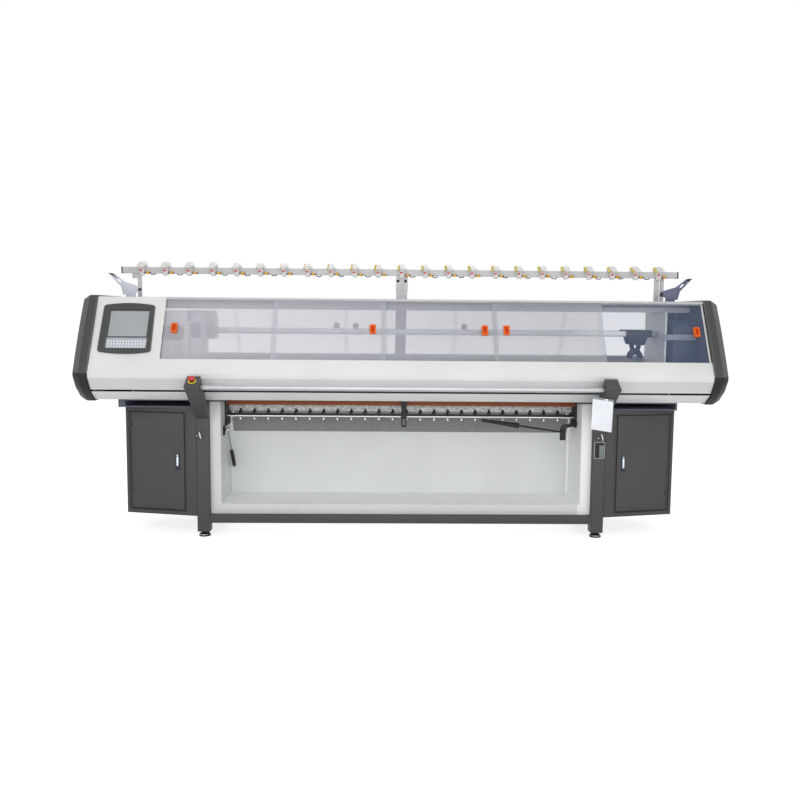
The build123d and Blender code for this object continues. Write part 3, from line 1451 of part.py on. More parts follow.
def lever_bracket_right():
    """Black bracket from the right wall to the right lever's pin."""
    x, y, z = LEVER_RIGHT_X, LEVER_RIGHT_Y, LEVER_RIGHT_Z
    shape = outline(
        [
            (x - 18, z - 52),
            (x + 18, z - 52),
            (x + 18, z + 24),
            (BIN_INNER, z + 40),
            (BIN_INNER, z + 62),
            (x - 6, z + 44),
            (x - 18, z + 20),
        ]
    )
    pin = Pos(x, y + 12, z) * Rot(90, 0, 0) * extrude(Circle(LEVER_PIN), 22)
    return along_y(shape, y + 12, y + 20) + pin


def lever_right():
    """Right hand lever: eye on its pin and a steel rod."""
    turn = Rot(90, 0, 0)
    low = Pos(0, 0, -LEVER_BOSS)
    eye = turn * (low * extrude(RegularPolygon(LEVER_EYE, 12), 2 * LEVER_BOSS))
    bore = turn * (low * extrude(bore_outline(LEVER_PIN), 2 * LEVER_BOSS))
    length = LEVER_RIGHT_LENGTH
    rod = Pos(0, 0, -length) * extrude(RegularPolygon(LEVER_ROD, 8), length)
    return lever_right_place() * (eye + rod - bore)


def grip_right():
    """Tapered black grip of the right hand lever."""
    near = -LEVER_RIGHT_LENGTH
    far = near - GRIP_RIGHT_LENGTH
    rings = [(GRIP_RADIUS - 5, far), (GRIP_RADIUS - 3, far + 10), (GRIP_RADIUS + 4, near)]
    return lever_right_place() * spun(rings, 12)


def yarn_bar():
    """Square tube along the top of the machine."""
    tube = Rectangle(YARN_BAR_SIZE, YARN_BAR_SIZE) - Rectangle(YARN_BAR_SIZE - 4, YARN_BAR_SIZE - 4)
    return along_x(Pos(YARN_BAR_Y, YARN_BAR_Z) * tube, -YARN_BAR_HALF, YARN_BAR_HALF)


def yarn_bar_cap():
    """Black cap on the right end of the yarn bar."""
    cap = Pos(YARN_BAR_Y, YARN_BAR_Z) * Rectangle(YARN_BAR_SIZE + 2, YARN_BAR_SIZE + 2)
    plug = Pos(YARN_BAR_Y, YARN_BAR_Z) * Rectangle(YARN_BAR_SIZE - 4.6, YARN_BAR_SIZE - 4.6)
    outer = along_x(cap, YARN_BAR_HALF, YARN_BAR_HALF + 8)
    return outer + along_x(plug, YARN_BAR_HALF - 15, YARN_BAR_HALF)


def bar_posts():
    """Posts between the roof and the yarn bar: one left, two right and a wide middle one."""
    low, high = ROOF_Z, YARN_BAR_Z - YARN_BAR_SIZE / 2
    y = (YARN_BAR_Y - 12, YARN_BAR_Y + 12)
    left = block((-POST_X - 11, -POST_X + 11), y, (low, high))
    clamp = block((-POST_X - 45, -POST_X - 11), y, (high - 30, high))
    right = block((POST_X - 38, POST_X - 10), y, (low, high))
    second = block((POST_X, POST_X + 20), y, (low, high))
    half = MIDDLE_POST_WIDTH / 2
    middle = block((-half, half), y, (low, high))
    return [left + clamp, right, second, middle]


def bar_bracket():
    """Front bracket of the middle post, with a notch between its two tabs."""
    face = YARN_BAR_Y - 12
    top = YARN_BAR_Z - YARN_BAR_SIZE / 2
    half = MIDDLE_POST_WIDTH / 2 + 3
    low = top - BAR_BRACKET_HEIGHT
    shape = outline(
        [(-half, top), (half, top), (half, low), (4, low), (8, low + 54), (-8, low), (-half, low)]
    )
    return along_y(shape, face - 4, face)


def bracket_bolts():
    """Two black bolt heads on the middle bracket."""
    head = Rot(90, 0, 0) * extrude(RegularPolygon(7, 6), 5)
    level = YARN_BAR_Z - YARN_BAR_SIZE / 2 - BAR_BRACKET_HEIGHT / 3
    return [Pos(x, YARN_BAR_Y - 12 - 4, level) * head for x in (-24, 24)]


def unit_places():
    """X of each yarn stop unit along the bar."""
    count = int(2 * (YARN_BAR_HALF - UNIT_MARGIN) / UNIT_PITCH) + 1
    return evenly(UNIT_PITCH * (count - 1) / 2, count)


def at_units(part):
    """Copies of a piece drawn at x = 0, one at each yarn stop unit."""
    return [Pos(x, YARN_BAR_Y, YARN_BAR_Z) * part for x in unit_places()]


def unit_housing():
    """White housing: a hood over the bar that leans out in front, and a body down its face."""
    half = YARN_BAR_SIZE / 2
    shape = outline(
        [
            (half + 38, half),
            (half + 32, half + 28),
            (half - 4, half + 36),
            (-half - 24, half + 30),
            (-half - 100, half),
            (-half - 96, half - 10),
            (-UNIT_FRONT, half - 8),
            (-UNIT_FRONT, -half - 14),
            (-half, -half - 14),
            (-half, half),
        ]
    )
    return along_x(shape, -UNIT_WIDTH / 2, UNIT_WIDTH / 2)


def unit_knobs():
    """Two yellow knobs on the left face and one on the tension pin."""
    side = -UNIT_WIDTH / 2
    upper = stub_x(-2, 42, 8, side - 9, side)
    lower = stub_x(-46, 24, 8, side - 9, side)
    tension = stub_x(TENSION_Y, TENSION_Z, 8, 27, 41)
    return [upper, lower, tension]


def unit_disc():
    """Tension disc on its pin beside the housing."""
    side = UNIT_WIDTH / 2
    disc = stub_x(TENSION_Y, TENSION_Z, 17, side, side + 6, 8)
    return disc + stub_x(TENSION_Y, TENSION_Z, 3, side + 6, 27, 4)


def unit_lamp():
    """Red lamp on the front of the housing."""
    return along_y(Pos(-4, -2) * RegularPolygon(7, 6), -UNIT_FRONT - 7, -UNIT_FRONT)


def side_guide():
    """Right slotted yarn guide: folded plate reaching up and outwards."""
    sheet, face = GUIDE_SHEET, GUIDE_Y
    points = [(-63, 35), (53, 13), (67, 65), (143, 147), (105, 143), (39, 91), (1, 81), (-57, 61)]
    shape = outline([(POST_X + x, ROOF_Z + z) for x, z in points])
    plate = along_y(shape, face, face + sheet)
    for x, z in ((62, 92), (95, 124)):
        slot = outline([(x, z), (x + 12, z - 2), (x + 30, z + 18), (x + 20, z + 20)])
        place = Pos(POST_X, ROOF_Z) * slot
        plate -= along_y(place, face - sheet, face + 2 * sheet)
    width = (POST_X - 23, POST_X + 37)
    foot = block(width, (face, face + 32), (ROOF_Z, ROOF_Z + sheet))
    stay = block(width, (face, face + sheet), (ROOF_Z, ROOF_Z + 33))
    return plate + foot + stay


def guide_knob():
    """Black clamp knob of the right side guide."""
    place = Pos(POST_X - 51, GUIDE_Y, ROOF_Z + 47) * Rot(90, 0, 0)
    return place * extrude(RegularPolygon(10, 10), 12)


def rail_bracket():
    """Light bracket beyond the right end plate, holding the front yarn rail's end."""
    face = -END_PLATE_HALF
    level = (YARN_RAIL_LOW - 16, YARN_RAIL_HIGH - 16)
    return block((END_PLATE_X - 15, BULK_X - 10), (face - 12, face), level)


def build_nodes():
    """Every node of the machine by name, as a shape or a list of shapes."""
    front_edges = window_edges(WINDOW_LEFT, SEAM_SHIFTS)
    rear_edges = window_edges(SEAT_GAP - COVER_X, (0.0,) * len(SEAM_SHIFTS))
    left_leg = -LEG_INNER - LEG_WIDTH
    rear_leg = LEG_FRONT - LEG_WIDTH
    corners = [(x, y) for x in (left_leg, LEG_INNER) for y in (-LEG_FRONT, rear_leg)]
    front_roller, rear_roller = roller_places()
    nodes = {
        "legs": [leg(x, y, LEG_TOP if y < 0 else CARRIER_LOW) for x, y in corners],
        "lower_frame": cross_beams() + sides(side_rail()),
        "levelling_feet": [levelling_foot(x, y) for x, y in corners],
        "console_arms": sides(arm()),
        "carriers": sides(side_carrier()) + front_and_back(bed_beam()),
        "start_bar": start_bar(),
        "stop_base": [stop_ring(), stop_collar()],
        "stop_button": stop_button(),
        "switch_frame": [switch_frame(), leg_hook(-LEG_INNER - 52, 1), leg_hook(LEG_INNER + 48, -1)],
        "switch_insert": [switch_insert(), switch_meter()],
        "switch_rocker": switch_rocker(),
        "document_pouch": document_pouch(),
        "fabric_bin": fabric_bin(),
        "cabinets": sides(cabinet()),
        "cabinet_door_left": mirror(cabinet_door(), Plane.YZ),
        "cabinet_door_right": cabinet_door(),
        "latch_left": mirror(latch_handle(), Plane.YZ),
        "latch_right": latch_handle(),
        "control_racks": sides(control_rack()),
        "needle_beds": front_and_back(needle_bed()),
        "bed_castings": front_and_back(bed_casting()) + front_and_back(rail_ledge()),
        "guide_rails": front_and_back(carriage_rail()) + yarn_rails() + sides(rail_bracket()),
        "end_frames": sides(end_plate()) + sides(bulkhead()),
        "drive_housings": sides(drive_housing()),
        "end_caps": sides(end_cap()),
        "cover_panels": [front_panel(), rear_panel()] + front_and_back(skirt()),
        "cover_profiles": front_and_back(cover_rail())
        + [lower_track(WINDOW_LEFT), mirror(lower_track(-COVER_X), Plane.XZ)],
        "roof": [roof(), top_beam(), rear_mullion()],
        "terminal_bezel": [terminal_bezel(), terminal_box()],
        "terminal_screen": terminal_screen(),
        "keypad": keypad(),
        "carriage_covers": front_and_back(carriage_cover()),
        "carriage_frame": [carriage_bridge()] + front_and_back(cam_box()),
        "yarn_carrier_front": yarn_carrier(),
        "yarn_carrier_rear": mirror(yarn_carrier(), Plane.XZ),
        "takedown_roller": roller(front_roller),
        "counter_roller": roller(rear_roller),
        "takedown_brackets": sides(takedown_bracket()) + [centre_bracket()],
        "fabric_guide": fabric_guide(),
        "presser_rod": [presser_rod()] + presser_knobs(),
        "presser_hooks": presser_hooks(),
        "lever_left": [lever_left(), grip_left()],
        "lever_right": [lever_right(), grip_right()],
        "yarn_bar": [yarn_bar(), bar_bracket()] + bar_posts(),
        "side_guides": sides(side_guide()),
    }
    for x in evenly(BULK_X - BRACKET_INSET, BRACKET_COUNT):
        nodes["carriers"] += front_and_back(cover_bracket(x))
    for x in (CARRIAGE_LEFT + 60, CARRIAGE_MID - 60):
        nodes["carriage_frame"] += front_and_back(carriage_runner(x))
    nodes["takedown_brackets"] += [lever_bracket_left(), lever_bracket_right()]
    black = sides(yarn_bar_cap()) + bracket_bolts() + sides(guide_knob())
    nodes["bar_fittings"] = black
    nodes["unit_housings"] = at_units(unit_housing())
    nodes["unit_knobs"] = [piece for knob in unit_knobs() for piece in at_units(knob)]
    nodes["unit_discs"] = at_units(unit_disc())
    nodes["unit_lamps"] = at_units(unit_lamp())
    front = window_row(front_edges, (True, False, False, True, False))
    rear = window_row(rear_edges, (True, False, True, True, False))
    for number in range(len(front)):
        nodes[f"front_window_{number + 1}"] = list(front[number])
        nodes[f"rear_window_{number + 1}"] = [mirror(part, Plane.XZ) for part in rear[number]]
    return nodes


def write_nodes(nodes):
    """Move each node into the final frame and write it as its own file."""
    os.makedirs("parts", exist_ok=True)
    for name, shapes in nodes.items():
        pieces = shapes if isinstance(shapes, list) else [shapes]
        solids = [solid for piece in pieces for solid in piece.solids()]
        moved = [Pos(0, FRAME_SHIFT, 0) * solid for solid in solids]
        export_step(Compound(moved), f"parts/{name}.step")


if __name__ == "__main__":
    write_nodes(build_nodes())
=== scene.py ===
"""Looks of a flat knitting machine: finishes for every part, and the pieces modelled here.

Everything is in metres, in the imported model's own frame: X along the needle beds to the
viewer's right, Y towards the back and Z up from the floor.
"""

from dataclasses import dataclass, field, replace
from enum import Enum
from typing import ClassVar, Iterable, Sequence
import json
import logging
import math

import bmesh
import bpy
from mathutils import Matrix, Vector


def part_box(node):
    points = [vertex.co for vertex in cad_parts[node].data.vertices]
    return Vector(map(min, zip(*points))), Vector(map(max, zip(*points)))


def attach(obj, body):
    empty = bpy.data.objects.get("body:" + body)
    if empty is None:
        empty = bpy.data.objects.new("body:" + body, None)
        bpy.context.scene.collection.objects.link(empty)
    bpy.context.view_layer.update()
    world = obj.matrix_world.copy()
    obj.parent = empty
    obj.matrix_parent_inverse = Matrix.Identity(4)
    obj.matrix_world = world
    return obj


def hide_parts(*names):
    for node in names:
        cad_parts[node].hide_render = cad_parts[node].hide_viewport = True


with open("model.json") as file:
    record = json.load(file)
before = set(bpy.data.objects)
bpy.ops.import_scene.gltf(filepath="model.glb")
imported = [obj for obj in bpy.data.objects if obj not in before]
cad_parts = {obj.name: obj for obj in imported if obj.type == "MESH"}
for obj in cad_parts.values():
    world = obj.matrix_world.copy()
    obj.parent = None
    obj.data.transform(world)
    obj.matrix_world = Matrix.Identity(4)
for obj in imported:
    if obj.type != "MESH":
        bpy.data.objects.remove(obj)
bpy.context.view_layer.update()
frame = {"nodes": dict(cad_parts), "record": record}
LOG = logging.getLogger("knitting_machine")

Point = tuple[float, float, float]
Pair = tuple[float, float]
Colour = tuple[float, float, float]
Mesh = bpy.types.Mesh
Object = bpy.types.Object
Socket = bpy.types.NodeSocket

FORWARD = (0, -1, 0)
BACK = (0, 1, 0)
WHITE = (1.0, 1.0, 1.0)
MERGE_UNDER = 1e-5
TOUCH = 0.0002
FLAT_UNDER = math.radians(0.5)
ROUND_OVER = math.radians(28)
SMOOTH_UNDER = math.radians(35)


def srgb(red: float, green: float, blue: float) -> Colour:
    """Linear colour of an 8-bit screen colour."""
    def channel(value: float) -> float:
        share = value / 255
        return share / 12.92 if share <= 0.04045 else ((share + 0.055) / 1.055) ** 2.4

    return channel(red), channel(green), channel(blue)


class Value:
    """A shader value whose operators add Math nodes to its tree."""

    def __init__(self, tree: "ShaderTree", socket: Socket) -> None:
        """Wrap an output socket.

        Args:
            tree: Tree that the socket belongs to.
            socket: Output socket that holds the value.
        """
        self.tree = tree
        self.socket = socket

    def math(self, operation: str, *others: "Value | float", swap: bool = False) -> "Value":
        """Result of one Math node.

        Args:
            operation: Name of the Math node's operation.
            others: Further operands.
            swap: Whether this value comes after the first other one.

        Returns:
            The node's value.
        """
        operands = [self, *others]
        if swap:
            operands[0], operands[1] = operands[1], operands[0]
        node = self.tree.node("ShaderNodeMath", dict(enumerate(operands)), operation=operation)
        return Value(self.tree, node.outputs[0])

    def __add__(self, other: "Value | float") -> "Value":
        """Sum."""
        return self.math("ADD", other)

    __radd__ = __add__

    def __sub__(self, other: "Value | float") -> "Value":
        """Difference."""
        return self.math("SUBTRACT", other)

    def __rsub__(self, other: float) -> "Value":
        """Difference from a number."""
        return self.math("SUBTRACT", other, swap=True)

    def __mul__(self, other: "Value | float") -> "Value":
        """Product."""
        return self.math("MULTIPLY", other)

    __rmul__ = __mul__

    def __lt__(self, other: "Value | float") -> "Value":
        """1 where this value is the smaller."""
        return self.math("LESS_THAN", other)

    def __gt__(self, other: "Value | float") -> "Value":
        """1 where this value is the larger."""
        return self.math("GREATER_THAN", other)

    def __or__(self, other: "Value | float") -> "Value":
        """The larger value, so 1 where either is 1."""
        return self.math("MAXIMUM", other)

    __ror__ = __or__

    def __abs__(self) -> "Value":
        """Size without sign."""
        return self.math("ABSOLUTE")

    def between(self, low: float, high: float) -> "Value":
        """1 between two numbers, else 0."""
        return (self > low) * (self < high)

    def step(self, low: float, high: float) -> "Value":
        """Smooth rise from 0 at low to 1 at high."""
        inputs = {"Value": self, "From Min": low, "From Max": high}
        node = self.tree.node("ShaderNodeMapRange", inputs, interpolation_type="SMOOTHSTEP")
        return Value(self.tree, node.outputs["Result"])

    def repeat(self, pitch: float) -> "Value":
        """Distance past the last multiple of the pitch."""
        return self.math("FLOORED_MODULO", pitch)


class ShaderTree:
    """Node tree of a material or of the world."""

    def __init__(self, owner: bpy.types.ID, output: str = "ShaderNodeOutputMaterial") -> None:
        """Empty the owner's tree and add its output.

        Args:
            owner: Material or world.
            output: Type of its output node.
        """
        owner.use_nodes = True
        self.nodes = owner.node_tree.nodes
        self.links = owner.node_tree.links
        self.nodes.clear()
        self.output = self.nodes.new(output)

    def node(self, kind: str, inputs: dict | None = None, **settings: object) -> bpy.types.Node:
        """Add a node of any type.

        Args:
            kind: The node's type.
            inputs: Values or links of its sockets, by name or number.
            settings: Its own settings, set first.

        Returns:
            The node.
        """
        made = self.nodes.new(kind)
        for name, value in settings.items():
            setattr(made, name, value)
        for key, value in (inputs or {}).items():
            self.feed(made.inputs[key], value)
        return made

    def feed(self, socket: Socket, value: object) -> None:
        """Link a socket to a value, an output or a shader, or set its number or colour."""
        if isinstance(value, Value):
            self.links.new(value.socket, socket)
        elif isinstance(value, Socket):
            self.links.new(value, socket)
        elif socket.type == "RGBA" and not isinstance(value, (int, float)):
            socket.default_value = (*value, 1.0)
        else:
            socket.default_value = value

    def close(self, shader: Socket) -> None:
        """Join a shader to the output."""
        self.links.new(shader, self.output.inputs["Surface"])

    def split(self, vector: Socket) -> tuple[Value, Value, Value]:
        """The three parts of a vector."""
        parts = self.node("ShaderNodeSeparateXYZ", {"Vector": vector})
        return tuple(Value(self, parts.outputs[number]) for number in range(3))

    def axes(self) -> tuple[Value, Value, Value]:
        """The point's X, Y and Z in the machine's frame."""
        return self.split(self.node("ShaderNodeTexCoord").outputs["Object"])

    def facing(self) -> tuple[Value, Value, Value]:
        """The parts of the flat face's normal."""
        return self.split(self.node("ShaderNodeNewGeometry").outputs["True Normal"])

    def noise(self, scale: float, detail: float, stretch: Point = (1, 1, 1)) -> Value:
        """Noise over the object's own coordinates, from 0 to 1.

        Args:
            scale: Its fineness.
            detail: Its number of octaves.
            stretch: Factor on each axis.

        Returns:
            The noise.
        """
        place = self.node("ShaderNodeTexCoord").outputs["Object"]
        scaled = self.node("ShaderNodeVectorMath", {0: place, 1: stretch}, operation="MULTIPLY")
        inputs = {"Vector": scaled.outputs["Vector"], "Scale": scale, "Detail": detail}
        return Value(self, self.node("ShaderNodeTexNoise", inputs).outputs["Fac"])

    def mix(self, share: "Value | float", first: object, second: object) -> Socket:
        """Colour between two colours."""
        node = self.node("ShaderNodeMix", {"Factor": share}, data_type="RGBA")
        self.feed(node.inputs[6], first)
        self.feed(node.inputs[7], second)
        return node.outputs[2]

    def blend(self, share: Value, first: Socket, second: Socket) -> Socket:
        """Shader between two shaders."""
        return self.node("ShaderNodeMixShader", {"Fac": share, 1: first, 2: second}).outputs[0]

    def bump(self, height: Value, distance: float) -> Socket:
        """Normal raised by a height, in metres of distance."""
        return self.node("ShaderNodeBump", {"Height": height, "Distance": distance}).outputs["Normal"]

    def straight_rays(self) -> Value:
        """1 for the rays of the camera, gloss and glass, else 0."""
        path = self.node("ShaderNodeLightPath")
        kinds = ("Is Camera Ray", "Is Glossy Ray", "Is Transmission Ray")
        camera, glossy, passed = (Value(self, path.outputs[kind]) for kind in kinds)
        return camera | glossy | passed


@dataclass(frozen=True)
class Finish:
    """A surface finish. Each kind writes its own node tree."""

    name: str
    colour: Colour
    roughness: float = 0.5
    gloss: float = 0.5

    def material(self) -> bpy.types.Material:
        """The finish's material, made on first use."""
        found = bpy.data.materials.get(self.name)
        if found is None:
            found = bpy.data.materials.new(self.name)
            self.write(ShaderTree(found))
        return found

    def write(self, tree: ShaderTree) -> None:
        """Write the node tree."""
        raise NotImplementedError

    def surface(
        self, tree: ShaderTree, colour: Socket, roughness: Value, normal: Socket | None, **more: object
    ) -> None:
        """Principled surface joined to the tree's output.

        Args:
            tree: The material's tree.
            colour: Its colour.
            roughness: Its roughness.
            normal: Its bumped normal, if it has one.
            more: Other inputs, with an underscore for a space.
        """
        inputs = {"Base Color": colour, "Roughness": roughness, "Specular IOR Level": self.gloss}
        if normal is not None:
            inputs["Normal"] = normal
        inputs |= {name.replace("_", " "): value for name, value in more.items()}
        tree.close(tree.node("ShaderNodeBsdfPrincipled", inputs).outputs["BSDF"])

    def rough(self, noise: Value, spread: float, below: float) -> Value:
        """Roughness that a noise spreads, from some way below the finish's own."""
        return noise * spread + (self.roughness - below)

    def shade(self, tree: ShaderTree, share: "Value | float", factor: float) -> Socket:
        """The finish's colour, darker or lighter by a factor where the share is 1."""
        other = tuple(min(channel * factor, 1.0) for channel in self.colour)
        return tree.mix(share, self.colour, other)


@dataclass(frozen=True)
class Textured(Finish):
    """Surface with a fine even texture, under a tone that each kind mixes for itself."""

    grain: float = 900.0
    depth: float = 0.00006
    octaves: ClassVar[float] = 2.0

    def write(self, tree: ShaderTree) -> None:
        """Write the node tree."""
        colour, rough = self.tone(tree)
        texture = tree.noise(self.grain, self.octaves)
        self.surface(tree, colour, rough, tree.bump(texture, self.depth))

    def tone(self, tree: ShaderTree) -> tuple[Socket, Value]:
        """The surface's colour and roughness."""
        raise NotImplementedError


@dataclass(frozen=True)
class PowderCoat(Textured):
    """Sprayed paint on sheet or tube: fine orange peel and slight clouding."""

    gloss: float = 0.3
    clouds: float = 0.95

    def tone(self, tree: ShaderTree) -> tuple[Socket, Value]:
        """The surface's colour and roughness."""
        speck = tree.noise(self.grain * 0.4, 3.0)
        return self.clouded(tree, tree.noise(3.0, 4.0)), self.rough(speck, 0.12, 0.06)

    def clouded(self, tree: ShaderTree, cloud: Value) -> Socket:
        """The paint's colour, clouded by a noise."""
        return self.shade(tree, cloud.step(0.35, 0.7), self.clouds)


@dataclass(frozen=True)
class Metal(Finish):
    """Bare or plated metal, with a draw or grinding direction."""

    along: Point = (0.02, 1.0, 1.0)
    grain: float = 700.0
    depth: float = 0.00003
    dull: float = 0.85

    def write(self, tree: ShaderTree) -> None:
        """Write the node tree."""
        lines = tree.noise(self.grain, 3.0, self.along)
        stain = tree.noise(5.0, 4.0)
        colour = self.shade(tree, lines * 0.6 + stain.step(0.45, 0.75) * 0.4, self.dull)
        normal = tree.bump(lines, self.depth)
        self.surface(tree, colour, self.rough(lines, 0.15, 0.05), normal, Metallic=1.0)


@dataclass(frozen=True)
class Moulded(Textured):
    """Moulded plastic or rubber with a fine spark-eroded texture."""

    grain: float = 1400.0
    depth: float = 0.00004
    octaves: ClassVar[float] = 1.0

    def tone(self, tree: ShaderTree) -> tuple[Socket, Value]:
        """The surface's colour and roughness."""
        wear = tree.noise(18.0, 5.0)
        return self.shade(tree, wear.step(0.4, 0.75), 0.94), self.rough(wear, 0.16, 0.08)


@dataclass(frozen=True)
class MilkySheet(Finish):
    """Translucent window sheet: haze on both faces, in a dimmer cast towards the right."""

    haze: float = 0.38
    far: Colour = (0.52, 0.54, 0.6)
    fade: Pair = (-1.4, 1.1)
    depth: float = 0.00002

    def write(self, tree: ShaderTree) -> None:
        """Write the node tree."""
        smear = tree.noise(2.2, 4.0, (1.0, 0.4, 0.4))
        grain = tree.noise(260.0, 2.0)
        near = self.shade(tree, smear.step(0.3, 0.8), 0.96)
        colour = tree.mix(tree.axes()[0].step(*self.fade), near, self.far)
        alpha = (smear * 0.3 + grain * 0.2 + 0.75) * self.haze
        normal = tree.bump(grain, self.depth)
        self.surface(tree, colour, self.rough(grain, 0.1, 0.0), normal, Alpha=alpha)


@dataclass(frozen=True)
class RollerCover(Moulded):
    """Worn grip cover of the takedown rollers, mottled in patches a few centimetres long."""

    worn: Colour = srgb(196, 196, 198)

    def tone(self, tree: ShaderTree) -> tuple[Socket, Value]:
        """The surface's colour and roughness."""
        patch = tree.noise(38.0, 4.0, (1.0, 2.0, 2.0))
        colour = tree.mix(patch.step(0.36, 0.66), self.colour, self.worn)
        return colour, self.rough(patch, 0.16, 0.08)


@dataclass(frozen=True)
class CapPlastic(Moulded):
    """End cap's moulding, its part under the waist in a blacker tone, its faces turned along X lighter
    as painted light.
    """

    under: Colour = srgb(34, 36, 35)
    # Colour of the faces turned along X: painted light.
    bevel: Colour = srgb(98, 102, 99)
    waist: Pair = (0.997, 0.999)

    def tone(self, tree: ShaderTree) -> tuple[Socket, Value]:
        """The surface's colour and roughness."""
        wear = tree.noise(10.0, 5.0)
        upper = self.shade(tree, wear.step(0.4, 0.75), 0.93)
        # Painted light: faces turned along X take the lighter colour.
        upper = tree.mix(abs(tree.facing()[0]).step(0.15, 0.3), upper, self.bevel)
        colour = tree.mix(tree.axes()[2].step(*self.waist), self.under, upper)
        return colour, self.rough(wear, 0.12, 0.06)


@dataclass(frozen=True)
class BinSheet(PowderCoat):
    """Bin's sheet paint, with painted shade on the strip that leans at the back, and painted light on
    the right end and on the faces turned up.
    """

    # Painted shade on the strip that leans at the back: its colour, its speckle and where it lies.
    lean: Colour = srgb(122, 124, 123)
    lean_speck: Colour = srgb(146, 148, 147)
    lean_heights: Pair = (0.594, 0.69)
    lean_depths: Pair = (0.0, 0.2)
    lean_reach: float = 1.07
    # Painted light on the right end and on faces turned up: its colour and where it starts along X.
    bright: Colour = srgb(251, 253, 252)
    bright_from: float = 1.075

    def tone(self, tree: ShaderTree) -> tuple[Socket, Value]:
        """The surface's colour and roughness."""
        x, y, z = tree.axes()
        speck = tree.noise(160.0, 4.0)
        # Painted shade: the leaning strip at the back takes a darker, speckled colour.
        lean_shade_colour = tree.mix(speck.step(0.35, 0.65), self.lean, self.lean_speck)
        band = z.between(*self.lean_heights) * y.between(*self.lean_depths) * (abs(x) < self.lean_reach)
        # Painted light: the right end and every face turned up take the lighter colour.
        bright = (x > self.bright_from) | (tree.facing()[2] > 0.9)
        paint = tree.mix(bright, self.clouded(tree, tree.noise(3.0, 4.0)), self.bright)
        return tree.mix(band, paint, lean_shade_colour), self.rough(speck, 0.1, 0.05)


@dataclass(frozen=True)
class PouchFilm(Finish):
    """Clear film over a sheet of paper, its free top strip darker, with a soft fold whose far side is
    slightly darker as painted shade.
    """

    top: Colour = srgb(132, 138, 146)
    depth: float = 0.0008

    def write(self, tree: ShaderTree) -> None:
        """Write the node tree."""
        across, up, _ = tree.split(tree.node("ShaderNodeUVMap", uv_map="cloth").outputs["UV"])
        edge = (up > 0.93) | (across > 0.975)
        fold = (up + across * 0.9 - 0.8).step(-0.04, 0.05)
        cloud = tree.noise(14.0, 4.0)
        # Painted shade: the paper past the fold is slightly darker.
        paper = self.shade(tree, fold * 0.3 + cloud.step(0.35, 0.7) * 0.3, 0.94)
        colour = tree.mix(edge, paper, self.top)
        normal = tree.bump(fold * 0.5 + cloud * 0.4, self.depth)
        self.surface(tree, colour, self.rough(cloud, 0.15, 0.05), normal, Coat_Weight=0.5)


@dataclass(frozen=True)
class GuidePaint(PowderCoat):
    """Yarn guide plates' paint, the right one in a deeper blue grey."""

    deep: Colour = srgb(104, 108, 134)

    def tone(self, tree: ShaderTree) -> tuple[Socket, Value]:
        """The surface's colour and roughness."""
        cloud = tree.noise(26.0, 4.0)
        colour = tree.mix(tree.axes()[0] > 0.0, self.clouded(tree, cloud), self.deep)
        return colour, self.rough(cloud, 0.1, 0.05)


@dataclass(frozen=True)
class DisplayGlass(Finish):
    """Liquid crystal behind glass: a dull grey field with faint rows."""

    row_pitch: float = 0.0016

    def write(self, tree: ShaderTree) -> None:
        """Write the node tree."""
        dark_row = tree.axes()[2].repeat(self.row_pitch) < self.row_pitch / 2
        cloud = tree.noise(9.0, 3.0)
        colour = self.shade(tree, dark_row * 0.25 + cloud.step(0.3, 0.7) * 0.5, 0.88)
        self.surface(tree, colour, self.rough(cloud, 0.1, 0.05), None, Coat_Weight=0.6)


